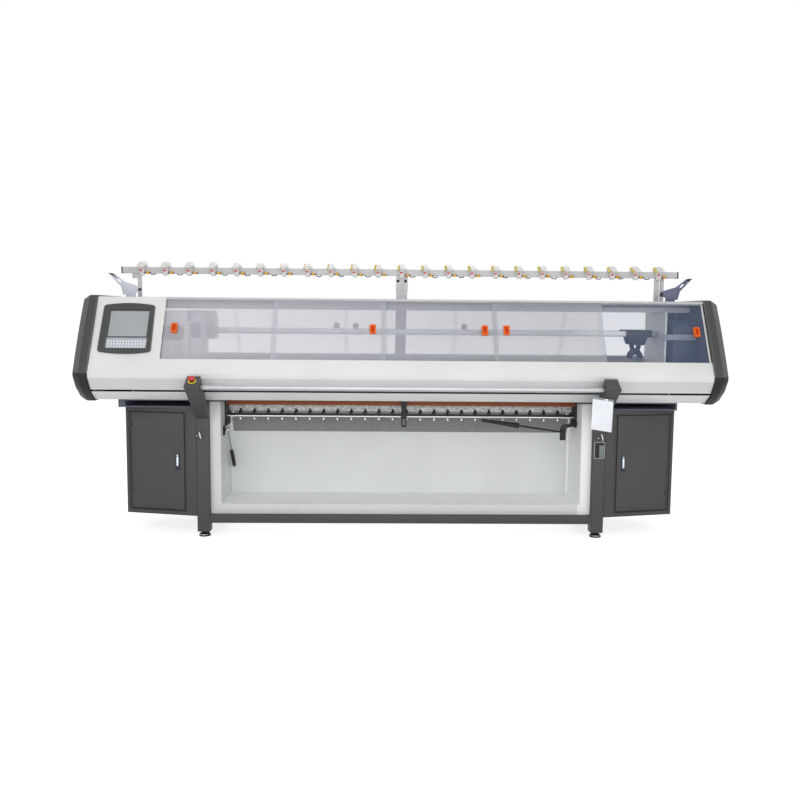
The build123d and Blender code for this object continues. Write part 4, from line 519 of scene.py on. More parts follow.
class Shelf:
    """The machine's finishes, some of them by the names of the record's slots."""

    dark_frame = PowderCoat("dark_powder_coat", srgb(80, 79, 80), 0.5, 0.25)
    black_steel = PowderCoat("black_satin_paint", srgb(30, 32, 38), 0.4, 0.3)
    black_rubber = Moulded("foot_rubber", srgb(26, 26, 27), 0.75, 0.3)
    bright_steel = Metal("drawn_bright_steel", (0.58, 0.59, 0.61), 0.26)
    dull_steel = Metal("brushed_start_bar", (0.5, 0.51, 0.53), 0.42)
    yellow_plastic = Moulded("signal_yellow", srgb(244, 214, 52), 0.35)
    red_plastic = Moulded("signal_red", srgb(222, 46, 58), 0.3)
    chrome_trim = Metal("chrome_plating", (0.7, 0.71, 0.73), 0.14)
    rim_grey = PowderCoat("switch_rim_paint", srgb(158, 158, 162), 0.35, 0.4)
    latch_paint = PowderCoat("latch_paint", srgb(44, 46, 54), 0.35, 0.4)
    # Chrome of the latches' handles, tinted blue as a painted reflection.
    latch_chrome = Metal("latch_chrome", (0.6, 0.68, 0.78), 0.3)
    black_plastic = Moulded("black_moulding", srgb(28, 28, 31), 0.4, 0.3)
    clear_film = PouchFilm("document_film", srgb(240, 243, 249), 0.3)
    pale_sheet = PowderCoat("pale_grey_paint", srgb(222, 224, 222), 0.42)
    grey_plastic = Moulded("grey_moulding", srgb(184, 189, 196), 0.45, 0.3)
    machined_steel = Metal("ground_steel", (0.5, 0.51, 0.53), 0.35)
    cast_grey = PowderCoat("painted_casting", srgb(128, 132, 140), 0.6, 0.3, 220.0, 0.0004)
    dark_housing = PowderCoat("blue_black_paint", srgb(54, 61, 76), 0.45, 0.25)
    dark_cap = CapPlastic("cap_moulding", srgb(76, 77, 77), 0.45, 0.22)
    white_panel = PowderCoat("white_gloss_paint", srgb(240, 241, 239), 0.32, 0.35)
    satin_aluminium = PowderCoat("satin_anodised_aluminium", srgb(208, 209, 211), 0.4, 0.4)
    screen_glass = DisplayGlass("display_glass", srgb(170, 176, 180), 0.3)
    cream_plastic = Moulded("cream_housing", srgb(226, 227, 228), 0.4, 0.3)
    pale_roller = RollerCover("roller_cover", srgb(248, 247, 244), 0.6, 0.3)
    guard_grey = PowderCoat("guard_paint", srgb(196, 197, 198), 0.5, 0.3)
    carrier_paint = PowderCoat("carrier_paint", srgb(92, 96, 108), 0.5, 0.3)
    orange_brown = PowderCoat("orange_brown_paint", srgb(150, 82, 48), 0.55, 0.3)
    lavender_sheet = GuidePaint("guide_paint", srgb(206, 209, 220), 0.4)
    milky_sheet = MilkySheet("milky_window", (0.79, 0.8, 0.86), 0.35, 0.3)
    rear_sheet = MilkySheet("rear_window", (0.79, 0.8, 0.86), 0.35, 0.3, 0.12)
    clear_sheet = MilkySheet("clear_window", (0.4, 0.5, 0.75), 0.2, 0.3, 0.1, (0.4, 0.5, 0.75))
    orange_plastic = Moulded("orange_pull_plastic", srgb(246, 112, 32), 0.35, 0.3)
    orange_recess = Moulded("orange_pull_recess", srgb(198, 58, 20), 0.45, 0.2)
    stop_white = Moulded("yarn_stop_white", srgb(232, 231, 228), 0.35, 0.4)
    amber_plastic = Moulded("amber_knob", srgb(238, 176, 40), 0.4)
    cable_blue = Moulded("signal_cable", srgb(40, 46, 70), 0.45, 0.3)
    wire = Moulded("coated_wire", srgb(52, 54, 60), 0.45, 0.3)
    key_white = Moulded("key_caps", srgb(236, 240, 244), 0.4)
    meter_glass = Moulded("meter_window", srgb(120, 128, 130), 0.3, 0.3)
    bin_sheet = BinSheet("bin_paint", srgb(226, 229, 226), 0.42, 0.3)
    profile_aluminium = PowderCoat("profile_paint", srgb(228, 230, 230), 0.38, 0.35)
    bridge_grey = PowderCoat("bridge_paint", srgb(226, 228, 230), 0.45, 0.3)
    rail_grey = PowderCoat("rail_bracket_paint", srgb(150, 156, 168), 0.5, 0.3)


def bodies_of_nodes() -> dict[str, str]:
    """The body of each node, by the node's name."""
    bodies = frame["record"]["behaviour"]["bodies"]
    return {node: body for body, nodes in bodies.items() for node in nodes}


BODY_OF = bodies_of_nodes()
SLOT_OF = {row["node"]: row["material_slot"] for row in frame["record"]["subparts"]}


def slot_finish(node: str) -> Finish:
    """The finish of a node's slot."""
    return getattr(Shelf, SLOT_OF[node])


def linked(name: str, data: bpy.types.ID) -> Object:
    """New object in the scene's collection."""
    made = bpy.data.objects.new(name, data)
    bpy.context.scene.collection.objects.link(made)
    return made


def piece(
    name: str, mesh: Mesh, finish: Finish, body: str, nodes: Sequence[str] = ()
) -> Object:
    """Link a finished mesh into the scene as a piece of the machine.

    Args:
        name: The piece's name.
        mesh: Its mesh, in place.
        finish: Its finish, used if the mesh has none yet.
        body: The body that it moves with.
        nodes: The nodes that it stands for.

    Returns:
        The piece's object.
    """
    made = linked(name, mesh)
    if not mesh.materials:
        mesh.materials.append(finish.material())
    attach(made, body)
    if nodes:
        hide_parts(*nodes)
    LOG.info("piece %s: %d faces on %s", name, len(mesh.polygons), body)
    return made


def stand_in(name: str, mesh: Mesh, finish: Finish, node: str) -> Object:
    """Piece in place of a node, on the node's body."""
    return piece(name, mesh, finish, BODY_OF[node], [node])


def baked(made: Object) -> Mesh:
    """Plain mesh of an object with its modifiers applied. The object is removed."""
    bpy.context.view_layer.update()
    graph = bpy.context.evaluated_depsgraph_get()
    mesh = bpy.data.meshes.new_from_object(made.evaluated_get(graph))
    bpy.data.objects.remove(made)
    return mesh


def merged_copy(node: str) -> Mesh:
    """Copy of a node's mesh with its triangles joined into flat faces."""
    mesh = frame["nodes"][node].data.copy()
    work = bmesh.new()
    work.from_mesh(mesh)
    bmesh.ops.remove_doubles(work, verts=work.verts, dist=MERGE_UNDER)
    bmesh.ops.dissolve_limit(work, angle_limit=FLAT_UNDER, verts=work.verts, edges=work.edges)
    work.to_mesh(mesh)
    work.free()
    for attribute in [a.name for a in mesh.attributes if a.name == "custom_normal"]:
        mesh.attributes.remove(mesh.attributes[attribute])
    mesh.materials.clear()
    return mesh


def polished(mesh: Mesh, width: float, segments: int = 2) -> Mesh:
    """Mesh with its sharp edges rounded and its faces shaded smooth.

    Args:
        mesh: The mesh, which this uses up.
        width: Width of the rounding, or 0 for none.
        segments: Faces across each rounding.

    Returns:
        The finished mesh.
    """
    if width:
        made = linked("rounding", mesh)
        bevel = made.modifiers.new("rounding", "BEVEL")
        bevel.width = width
        bevel.segments = segments
        bevel.limit_method = "ANGLE"
        bevel.angle_limit = ROUND_OVER
        mesh = baked(made)
    mesh.shade_smooth()
    mesh.set_sharp_from_angle(angle=SMOOTH_UNDER)
    return mesh


def softened(node: str, width: float, segments: int = 2, finish: Finish | None = None) -> None:
    """A node's shape again with its sharp edges rounded, in place of the node.

    Args:
        node: The node's name.
        width: Width of the rounding.
        segments: Faces across each rounding.
        finish: Its finish, if not its slot's own.
    """
    mesh = polished(merged_copy(node), width, segments)
    stand_in(f"{node}_shape", mesh, finish or slot_finish(node), node)


def loose_parts(node: str) -> list[Mesh]:
    """Each separate solid of a node as a mesh of its own, the narrowest along X first."""
    work = bmesh.new()
    work.from_mesh(merged_copy(node))
    left = set(work.verts)
    parts = []
    for first in work.verts:
        if first not in left:
            continue
        left.discard(first)
        group, edge = set(), [first]
        while edge:
            vert = edge.pop()
            group.add(vert)
            near = {link.other_vert(vert) for link in vert.link_edges} & left
            left -= near
            edge.extend(near)
        ordered = sorted(group, key=lambda vert: vert.index)
        spot = {vert: number for number, vert in enumerate(ordered)}
        faces = {face for vert in group for face in vert.link_faces}
        mesh = bpy.data.meshes.new(f"{node}_part")
        in_order = sorted(faces, key=lambda face: face.index)
        corners = [[spot[vert] for vert in face.verts] for face in in_order]
        mesh.from_pydata([vert.co for vert in ordered], [], corners)
        parts.append(mesh)
    work.free()
    return sorted(parts, key=lambda part: (round(length_along_x(part), 4), extent(part)[0].x))


def extent(mesh: Mesh) -> tuple[Vector, Vector]:
    """Lowest and highest corner of a mesh."""
    points = [vert.co for vert in mesh.vertices]
    low = Vector(tuple(min(point[axis] for point in points) for axis in range(3)))
    high = Vector(tuple(max(point[axis] for point in points) for axis in range(3)))
    return low, high


def length_along_x(mesh: Mesh) -> float:
    """Length of a mesh's box along X."""
    low, high = extent(mesh)
    return high.x - low.x


def middle(mesh: Mesh) -> Vector:
    """Middle of a mesh's box."""
    low, high = extent(mesh)
    return (low + high) / 2


def span(values: Iterable[float]) -> Pair:
    """Middle and length of the range that some values fill."""
    listed = list(values)
    return (min(listed) + max(listed)) / 2, max(listed) - min(listed)


def main_face(mesh: Mesh, towards: Sequence[float]) -> Vector:
    """Direction of a mesh's largest face, turned to the side of another direction."""
    out = max(mesh.polygons, key=lambda face: face.area).normal.copy()
    return out if out.dot(Vector(towards)) >= 0 else -out


def stand(place: Sequence[float], out: Sequence[float], up: Sequence[float] = (0, 0, 1)) -> Matrix:
    """Frame at a place, its z axis pointing out and its y axis as near to up as it goes."""
    z = Vector(out).normalized()
    x = Vector(up).cross(z)
    if x.length < 1e-6:
        x = Vector((1, 0, 0))
    x.normalize()
    turn = Matrix((x, z.cross(x), z)).transposed().to_4x4()
    return Matrix.Translation(Vector(place)) @ turn


def circle(radius: float, sides: int) -> list[Pair]:
    """Points of a circle round the origin."""
    angles = [2 * math.pi * number / sides for number in range(sides)]
    return [(radius * math.cos(angle), radius * math.sin(angle)) for angle in angles]


def rounded(width: float, height: float, corner: float, steps: int = 4) -> list[Pair]:
    """Corners of a rectangle round the origin whose corners are rounded."""
    points = []
    for number, (side_u, side_v) in enumerate(((1, 1), (-1, 1), (-1, -1), (1, -1))):
        centre_u, centre_v = side_u * (width / 2 - corner), side_v * (height / 2 - corner)
        for step in range(steps + 1):
            angle = math.pi / 2 * (number + step / steps)
            points.append((centre_u + corner * math.cos(angle), centre_v + corner * math.sin(angle)))
    return points


class Workpiece:
    """A mesh in the making. New faces take the finish in hand."""

    def __init__(self, finish: Finish) -> None:
        """Start with nothing but a finish in hand."""
        self.work = bmesh.new()
        self.finish = finish
        self.finishes: list[Finish] = []

    def using(self, finish: Finish) -> "Workpiece":
        """The workpiece itself, with another finish in hand."""
        self.finish = finish
        return self

    def skin(self, rings: Sequence[Sequence[Vector]], looped: bool = False) -> None:
        """Closed skin over rings of equal length.

        Args:
            rings: Rings of points, from one end to the other.
            looped: Whether the last ring joins the first. If not, both ends are capped.
        """
        if self.finish not in self.finishes:
            self.finishes.append(self.finish)
        rows = [[self.work.verts.new(point) for point in ring] for ring in rings]
        if looped:
            made, following = [], rows[1:] + rows[:1]
        else:
            caps = (rows[0][::-1], rows[-1])
            made, following = [self.work.faces.new(cap) for cap in caps], rows[1:]
        for first, second in zip(rows, following):
            for number, corner in enumerate(first):
                after = (number + 1) % len(first)
                made.append(self.work.faces.new((corner, first[after], second[after], second[number])))
        for face in made:
            face.material_index = self.finishes.index(self.finish)
        bmesh.ops.recalc_face_normals(self.work, faces=made)

    def prism(self, corners: Sequence[Pair], place: Matrix, depth: float) -> None:
        """Prism over corners in a frame's plane, drawn out along its z axis."""
        self.skin([[place @ Vector((u, v, level)) for u, v in corners] for level in (0.0, depth)])

    def box(self, across: Pair, up: Pair, place: Matrix, depth: float) -> None:
        """Box between two values of a frame's x axis and two of its y axis."""
        (left, right), (bottom, top) = across, up
        self.prism([(left, bottom), (right, bottom), (right, top), (left, top)], place, depth)

    def block(self, low: Sequence[float], high: Sequence[float]) -> None:
        """Box between two corners."""
        floor = Matrix.Translation((0, 0, low[2]))
        self.box((low[0], high[0]), (low[1], high[1]), floor, high[2] - low[2])

    def plate(self, width: float, height: float, corner: float, place: Matrix, depth: float) -> None:
        """Plate with rounded corners, centred on a frame."""
        self.prism(rounded(width, height, corner), place, depth)

    def turned(
        self, profile: Sequence[Pair], place: Matrix, sides: int = 24, scale: float = 1.0
    ) -> None:
        """Turned shape along a frame's z axis.

        Args:
            profile: Its (radius, height) rings.
            place: The frame.
            sides: Faces round it.
            scale: Factor on the radii.
        """
        rings = []
        for radius, level in profile:
            rings.append([place @ Vector((u, v, level)) for u, v in circle(radius * scale, sides)])
        self.skin(rings)

    def turned_ring(self, profile: Sequence[Pair], bore: float, place: Matrix, sides: int = 36) -> None:
        """Turned ring with a bore.

        Args:
            profile: (radius, height) rings of its outside.
            bore: Radius of its bore.
            place: Its frame.
            sides: Faces round it.
        """
        loop = [(bore, profile[0][1]), *profile, (bore, profile[-1][1])]
        turns = circle(1.0, sides)
        rings = [[place @ Vector((r * u, r * v, level)) for r, level in loop] for u, v in turns]
        self.skin(rings, looped=True)

    def wire(self, path: Sequence[Sequence[float]], radius: float, sides: int = 8) -> None:
        """Round wire along a path of points."""
        points = [Vector(point) for point in path]
        rings = []
        for number, point in enumerate(points):
            ahead = points[min(number + 1, len(points) - 1)] - points[max(number - 1, 0)]
            place = stand(point, ahead, (0.31, 0.17, 0.93))
            rings.append([place @ Vector((u, v, 0)) for u, v in circle(radius, sides)])
        self.skin(rings)

    def mesh(self, name: str, width: float = 0.0, segments: int = 2) -> Mesh:
        """Finished mesh, with its sharp edges rounded by a width."""
        made = bpy.data.meshes.new(name)
        self.work.to_mesh(made)
        self.work.free()
        for finish in self.finishes:
            made.materials.append(finish.material())
        return polished(made, width, segments)

    def piece(
        self, name: str, body: str, slot: str, nodes: Sequence[str] = (),
        width: float = 0.0, segments: int = 2,
    ) -> None:
        """Finish the mesh and link it as a piece.

        Args:
            name: The piece's name.
            body: The body that it moves with.
            nodes: The nodes that it stands for.
            width: Width of the rounding.
            segments: Faces across each rounding.
        """
        piece(name, self.mesh(name, width, segments), self.finish, body, nodes)

    def stand_in(self, name: str, node: str, width: float = 0.0, segments: int = 2) -> None:
        """Finish the mesh and link it as a piece in place of a node."""
        self.piece(name, BODY_OF[node], SLOT_OF[node], [node], width, segments)


class Side(Enum):
    """Side of the machine, by the sign of its Y."""

    FRONT = -1
    REAR = 1


@dataclass(frozen=True)
class Row:
    """Places at even steps, in one row or several, each copy turned at random if asked."""

    start: Point
    step: Point
    count: int
    row_step: Point = (0.0, 0.0, 0.0)
    rows: int = 1
    turn: float = 0.0
    seed: int = 7

    def filled(self, pattern: Mesh, finish: Finish) -> Mesh:
        """Copies of a pattern at every place, as one plain mesh.

        Args:
            pattern: Mesh drawn about the origin.
            finish: Finish of the copies.

        Returns:
            The copies' mesh.
        """
        original, holder = linked("pattern", pattern), linked("row", bpy.data.meshes.new("row"))
        modifier = holder.modifiers.new("row", "NODES")
        modifier.node_group = row_tree()
        values = {
            "Pattern": original,
            "Start": self.start,
            "Step": self.step,
            "Count": self.count,
            "Row Step": self.row_step,
            "Rows": self.rows,
            "Random Turn": self.turn,
            "Seed": self.seed,
            "Finish": finish.material(),
        }
        for item in modifier.node_group.interface.items_tree:
            if item.name in values:
                modifier[item.identifier] = values[item.name]
        mesh = baked(holder)
        bpy.data.objects.remove(original)
        return mesh

    def piece(
        self, name: str, work: Workpiece, body: str, slot: str, nodes: Sequence[str] = (),
        width: float = 0.0, segments: int = 2,
    ) -> None:
        """Copies of a workpiece at every place, linked as one piece.

        Args:
            name: The piece's name.
            work: The workpiece, drawn about the origin.
            body: The body that it moves with.
            nodes: The nodes that it stands for.
            width: Width of the rounding of each copy.
            segments: Faces across each rounding.
        """
        mesh = self.filled(work.mesh(name, width, segments), work.finish)
        piece(name, mesh, work.finish, body, nodes)


def row_tree() -> bpy.types.NodeTree:
    """Geometry tree that copies a pattern along rows of places, made on first use."""
    found = bpy.data.node_groups.get("rows_of_copies")
    if found:
        return found
    group = bpy.data.node_groups.new("rows_of_copies", "GeometryNodeTree")
    kinds = {
        "Pattern": "Object",
        "Start": "Vector",
        "Step": "Vector",
        "Count": "Int",
        "Row Step": "Vector",
        "Rows": "Int",
        "Random Turn": "Float",
        "Seed": "Int",
        "Finish": "Material",
    }
    for name, kind in kinds.items():
        group.interface.new_socket(name, in_out="INPUT", socket_type=f"NodeSocket{kind}")
    group.interface.new_socket("Geometry", in_out="OUTPUT", socket_type="NodeSocketGeometry")
    nodes, links = group.nodes, group.links
    given = nodes.new("NodeGroupInput").outputs
    result = nodes.new("NodeGroupOutput").inputs["Geometry"]
    across, along = (nodes.new("GeometryNodeMeshLine") for _ in range(2))
    grid, copies = (nodes.new("GeometryNodeInstanceOnPoints") for _ in range(2))
    spots, solid = (nodes.new("GeometryNodeRealizeInstances") for _ in range(2))
    shape, paint = nodes.new("GeometryNodeObjectInfo"), nodes.new("GeometryNodeSetMaterial")
    chance, turn = nodes.new("FunctionNodeRandomValue"), nodes.new("ShaderNodeCombineXYZ")
    least = nodes.new("ShaderNodeMath")
    least.operation = "MULTIPLY"
    least.inputs[1].default_value = -1.0
    pairs = [
        (given["Rows"], across.inputs["Count"]),
        (given["Start"], across.inputs["Start Location"]),
        (given["Row Step"], across.inputs["Offset"]),
        (given["Count"], along.inputs["Count"]),
        (given["Step"], along.inputs["Offset"]),
        (across.outputs["Mesh"], grid.inputs["Points"]),
        (along.outputs["Mesh"], grid.inputs["Instance"]),
        (grid.outputs["Instances"], spots.inputs["Geometry"]),
        (given["Pattern"], shape.inputs["Object"]),
        (spots.outputs["Geometry"], copies.inputs["Points"]),
        (shape.outputs["Geometry"], copies.inputs["Instance"]),
        (given["Random Turn"], least.inputs[0]),
        (least.outputs[0], chance.inputs[2]),
        (given["Random Turn"], chance.inputs[3]),
        (given["Seed"], chance.inputs["Seed"]),
        (chance.outputs[1], turn.inputs["X"]),
        (turn.outputs["Vector"], copies.inputs["Rotation"]),
        (copies.outputs["Instances"], solid.inputs["Geometry"]),
        (solid.outputs["Geometry"], paint.inputs["Geometry"]),
        (given["Finish"], paint.inputs["Material"]),
        (paint.outputs["Geometry"], result),
    ]
    for source, target in pairs:
        links.new(source, target)
    return group


@dataclass
class Slope:
    """The cover's sloping front: a line from its top edge down to its waist."""

    top: Pair = (-0.1665, 1.437)
    waist: Pair = (-0.4085, 0.998)

    def down(self) -> Vector:
        """Direction down the slope."""
        return Vector((0, self.waist[0] - self.top[0], self.waist[1] - self.top[1])).normalized()

    def out(self) -> Vector:
        """Direction out of the slope."""
        down = self.down()
        return Vector((0, down.z, -down.y))

    def place(self, x: float, down: float, out: float = 0.0) -> Matrix:
        """Frame on the slope, its y axis up the slope and its z axis out of it."""
        point = Vector((x, *self.top)) + self.down() * down + self.out() * out
        return stand(point, self.out(), -self.down())

    def below(self, point: Vector) -> float:
        """How far down the slope a point lies."""
        return (point - Vector((0, *self.top))).dot(self.down())

    def proud(self, point: Vector) -> float:
        """How far out of the slope a point stands."""
        return (point - Vector((0, *self.top))).dot(self.out())


@dataclass
class Windows:
    """Sliding sheets in front and behind, each with its orange pull, and light jambs in front."""

    slope: Slope = field(default_factory=Slope)
    per_side: int = 5
    clear_window: str = "front_window_5"
    middle_y: float = 0.0715
    sheet_rounding: float = 0.001
    pull_rounding: float = 0.004
    slot_width: float = 0.0105
    slot_share: float = 0.62
    slot_depth: float = 0.0006
    jambs: tuple = ((-1.437, -1.409), (1.7975, 1.8088))
    jamb_drop: float = 0.012
    jamb_depth: float = 0.002
    jamb_corner: float = 0.001

    def build(self) -> None:
        """Build the sheet and the pull of every window, and the jambs."""
        for side in Side:
            for number in range(1, self.per_side + 1):
                self.build_window(f"{side.name.lower()}_window_{number}", side)
        sheet = loose_parts("front_window_1")[1]
        down, height = span(self.slope.below(vert.co) for vert in sheet.vertices)
        work = Workpiece(Shelf.profile_aluminium)
        for left, right in self.jambs:
            place = self.slope.place((left + right) / 2, down, -self.jamb_drop)
            work.plate(right - left, height, self.jamb_corner, place, self.jamb_depth)
        work.piece("window_jambs", "machine", "satin_aluminium", width=0.0004)

    def build_window(self, node: str, side: Side) -> None:
        """One window's sheet, its pull and the pull's slot, in place of its node."""
        pull, sheet = loose_parts(node)
        finish = Shelf.milky_sheet if side is Side.FRONT else Shelf.rear_sheet
        if node == self.clear_window:
            finish = Shelf.clear_sheet
        stand_in(f"{node}_sheet", polished(sheet, self.sheet_rounding), finish, node)
        centre = middle(pull)
        points = [self.front_point(vert.co, side) for vert in pull.vertices]
        down, tall = span(self.slope.below(point) for point in points)
        proud = max(self.slope.proud(point) for point in points)
        stand_in(f"{node}_pull", polished(pull, self.pull_rounding, 3), Shelf.orange_plastic, node)
        place = self.slope.place(centre.x, down, proud - TOUCH)
        if side is Side.REAR:
            out = self.slope.out()
            place = stand(self.front_point(place.translation, side), (0, -out.y, out.z))
        work = Workpiece(Shelf.orange_recess)
        size = (self.slot_width, tall * self.slot_share, self.slot_width * 0.4)
        work.plate(*size, place, self.slot_depth)
        work.stand_in(f"{node}_slot", node, 0.0002)

    def front_point(self, point: Vector, side: Side) -> Vector:
        """The point itself, or its mirror image at the front for the rear side."""
        return point if side is Side.FRONT else Vector((point.x, 2 * self.middle_y - point.y, point.z))


@dataclass
class YarnStops:
    """The row of yarn stop units on the bar above the roof."""

    bar: Pair = (0.1915, 1.61)
    reach: float = 0.0155
    front: float = -0.05
    overlap: float = 0.001
    housing_rounding: float = 0.006
    plug: tuple = ((0.009, 0), (0.009, 0.006), (0.007, 0.009), (0.002, 0.0098))
    plug_at: Pair = (0.001, -0.019)
    seam: tuple = (0.03, 0.002, 0.0009)
    seam_depth: float = 0.0012
    seam_level: float = 0.03
    knob_radius: float = 0.0088
    knob: tuple = ((0.7, 0), (1, 0.002), (1, 0.0095), (0.8, 0.0115))
    knobs_at: tuple = ((0.002, 0.041), (-0.04, 0.021))
    tension: Pair = (-0.038, -0.016)
    tension_out: float = 0.027
    tension_length: float = 0.018
    tension_turn: float = 0.05
    flutes: int = 24
    ridge: float = 0.0089
    groove: float = 0.0081
    disc_radius: float = 0.0095
    disc: tuple = (
        (0.3, 0.0), (1, 0.0005), (1, 0.001), (0.4, 0.0022),
        (0.4, 0.0026), (1, 0.0038), (1, 0.0043), (0.3, 0.0048),
    )
    pin: tuple = ((0.0026, 0.004), (0.0026, 0.0125))
    tip: tuple = ((0.004, 0), (0.0044, 0.004), (0.003, 0.008))
    tip_out: float = 0.045
    lamp: Pair = (0.0195, 0.0095)
    lamp_at: Pair = (-0.0036, -0.002)
    lamp_depth: float = 0.0055
    feeler: tuple = ((0.012, 0.0), (0.019, 0.004), (0.024, 0.0065), (0.028, 0.003), (0.03, -0.002))
    feeler_at: Pair = (-0.022, 0.0225)
    feeler_radius: float = 0.0011
    cable_radius: float = 0.003
    cable_at: Pair = (-0.004, -0.0205)
    cable_from: float = 0.062
    cable_drift: float = 0.02
    cable_dip: float = 0.0055
    cable_sag: float = 0.004

    def build(self) -> None:
        """Build each part of the units for the whole row."""
        housings = loose_parts("unit_housings")
        places = sorted(middle(part).x for part in housings)
        centre = Vector((places[0], *self.bar))
        step = (places[-1] - places[0]) / (len(places) - 1)
        row = Row(tuple(centre), (step, 0, 0), len(places))
        self.build_housings(row, housings[0], centre)
        self.build_knobs(row)
        self.build_discs(row)
        self.build_lamps(row)
        self.build_feelers(row)
        self.build_cables(row)

    def build_housings(self, row: Row, part: Mesh, centre: Vector) -> None:
        """White hoods from the node's own section, with a plug in front and a seam on each side."""
        part.transform(Matrix.Translation(-Vector((middle(part).x, centre.y, centre.z))))
        finish = Shelf.stop_white
        mesh = row.filled(polished(part, self.housing_rounding, 4), finish)
        piece("yarn_stop_hoods", mesh, finish, "machine", ["unit_housings"])
        work = Workpiece(finish)
        x, z = self.plug_at
        work.turned(self.plug, stand((x, self.front, z), FORWARD), 20)
        for side in (-1, 1):
            spot = stand((side * (self.reach - self.overlap), 0.0, self.seam_level), (side, 0, 0))
            work.plate(*self.seam, spot, self.seam_depth)
        row.piece("yarn_stop_caps", work, "machine", "white_panel", width=0.0006)

    def build_knobs(self, row: Row) -> None:
        """Yellow knobs: two on the left face and one on the tension pin."""
        work = Workpiece(Shelf.yellow_plastic)
        for y, z in self.knobs_at:
            place = stand((self.overlap - self.reach, y, z), (-1, 0, 0))
            work.turned(self.knob, place, 16, self.knob_radius)
        row.piece("yarn_stop_knobs", work, "machine", "yellow_plastic", ["unit_knobs"])
        work = Workpiece(Shelf.amber_plastic)
        ridges, grooves = circle(self.ridge, self.flutes), circle(self.groove, self.flutes)
        rim = [ridges[number] if number % 2 else grooves[number] for number in range(self.flutes)]
        work.prism(rim, stand((self.tension_out, *self.tension), (1, 0, 0)), self.tension_length)
        row = replace(row, turn=self.tension_turn)
        row.piece("yarn_stop_tension", work, "machine", "yellow_plastic", width=0.0008)

    def build_discs(self, row: Row) -> None:
        """Pair of bright tension discs on each pin."""
        place = stand((self.reach, *self.tension), (1, 0, 0))
        work = Workpiece(Shelf.bright_steel)
        work.turned(self.disc, place, 20, self.disc_radius)
        row.piece("yarn_stop_discs", work, "machine", "bright_steel", ["unit_discs"])
        work = Workpiece(Shelf.black_plastic)
        work.turned(self.pin, place, 10)
        work.turned(self.tip, stand((self.tip_out, *self.tension), (1, -0.1, -0.25)), 12)
        row.piece("yarn_stop_pins", work, "machine", "black_plastic")

    def build_lamps(self, row: Row) -> None:
        """Red signal lamps on the units' fronts."""
        work = Workpiece(Shelf.red_plastic)
        x, z = self.lamp_at
        wide, tall = self.lamp
        place = stand((x, self.front + self.overlap, z), FORWARD)
        work.plate(wide, tall, tall * 0.45, place, self.lamp_depth)
        row.piece("yarn_stop_lamps", work, "machine", "red_plastic", ["unit_lamps"], 0.0015, 3)

    def build_feelers(self, row: Row) -> None:
        """Dark spring wires that leave the hood on both sides, just above the bar."""
        work = Workpiece(Shelf.wire)
        y, level = self.feeler_at
        for side in (-1, 1):
            path = [(side * x, y - 0.3 * x, level + z) for x, z in self.feeler]
            work.wire(path, self.feeler_radius, 6)
        row.piece("yarn_stop_feelers", work, "machine", "black_plastic")

    def build_cables(self, row: Row) -> None:
        """Slack of the signal cable showing under the bar between most of the units."""
        work = Workpiece(Shelf.cable_blue)
        x, y, z = row.start
        back, level = self.cable_at
        for number in range(row.count - 1):
            if number % 4 == 2:
                continue
            dip = self.cable_dip + self.cable_sag * ((number * 7) % 5) / 4
            drift = self.cable_drift * ((number * 3) % 4) / 3
            centre = x + row.step[0] * number + self.cable_from + drift
            loop = [(-0.02, 0.004), (-0.012, -dip * 0.7), (0, -dip), (0.012, -dip * 0.7), (0.02, 0.004)]
            work.wire([(centre + u, y + back, z + level + v) for u, v in loop], self.cable_radius)
        work.piece("signal_cables", "machine", "black_plastic")


@dataclass
class Terminal:
    """Control terminal: bezel, display in its frame and keys."""

    slope: Slope = field(default_factory=Slope)
    frame_edge: float = 0.006
    frame_proud: float = 0.0042
    frame_depths: Pair = (0.003, 0.0028)
    frame_corner: float = 0.001
    columns: int = 13
    rows: int = 3
    key: tuple = (0.0118, 0.0122, 0.002)
    key_height: float = 0.0016
    key_margins: Pair = (0.012, 0.018)
    keys_down: float = 0.006
    keys_proud: float = 0.004

    def build(self) -> None:
        """Build the rounded bezel, the display's frame and the keys."""
        softened("terminal_bezel", 0.003, 3)
        softened("keypad", 0.0006)
        self.build_display()
        self.build_keys()

    def field_of(self, node: str) -> tuple[float, float, float, float]:
        """Middle X, middle distance down the slope, width and height of a node's face."""
        points = [vert.co for vert in frame["nodes"][node].data.vertices]
        x, width = span(point.x for point in points)
        down, height = span(self.slope.below(point) for point in points)
        return x, down, width, height

    def build_display(self) -> None:
        """Dark inner frame round the display."""
        x, down, width, height = self.field_of("terminal_screen")
        work = Workpiece(Shelf.dark_frame)
        edge, proud, corner = self.frame_edge, self.frame_proud, self.frame_corner
        for side in (-1, 1):
            place = self.slope.place(x + side * (width / 2 - edge / 2), down, proud)
            work.plate(edge, height - corner, corner, place, self.frame_depths[0])
            place = self.slope.place(x, down + side * (height / 2 - edge / 2), proud)
            work.plate(width - corner, edge, corner, place, self.frame_depths[1])
        work.piece("display_frame", "machine", "dark_cap", width=0.0006)

    def build_keys(self) -> None:
        """Rows of pale keys under the display."""
        x, down, width, height = self.field_of("keypad")
        work = Workpiece(Shelf.key_white)
        flat = self.slope.place(0, 0)
        flat.translation = (0, 0, 0)
        work.plate(*self.key, flat, self.key_height)
        step = (width - self.key_margins[0]) / self.columns
        drop = (height - self.key_margins[1]) / self.rows
        left, top = x - step * (self.columns - 1) / 2, down - drop + self.keys_down
        first = self.slope.place(left, top, self.keys_proud).translation
        row = Row(tuple(first), (step, 0, 0), self.columns, tuple(self.slope.down() * drop), self.rows)
        row.piece("terminal_keys", work, "machine", "grey_plastic", width=0.0005)


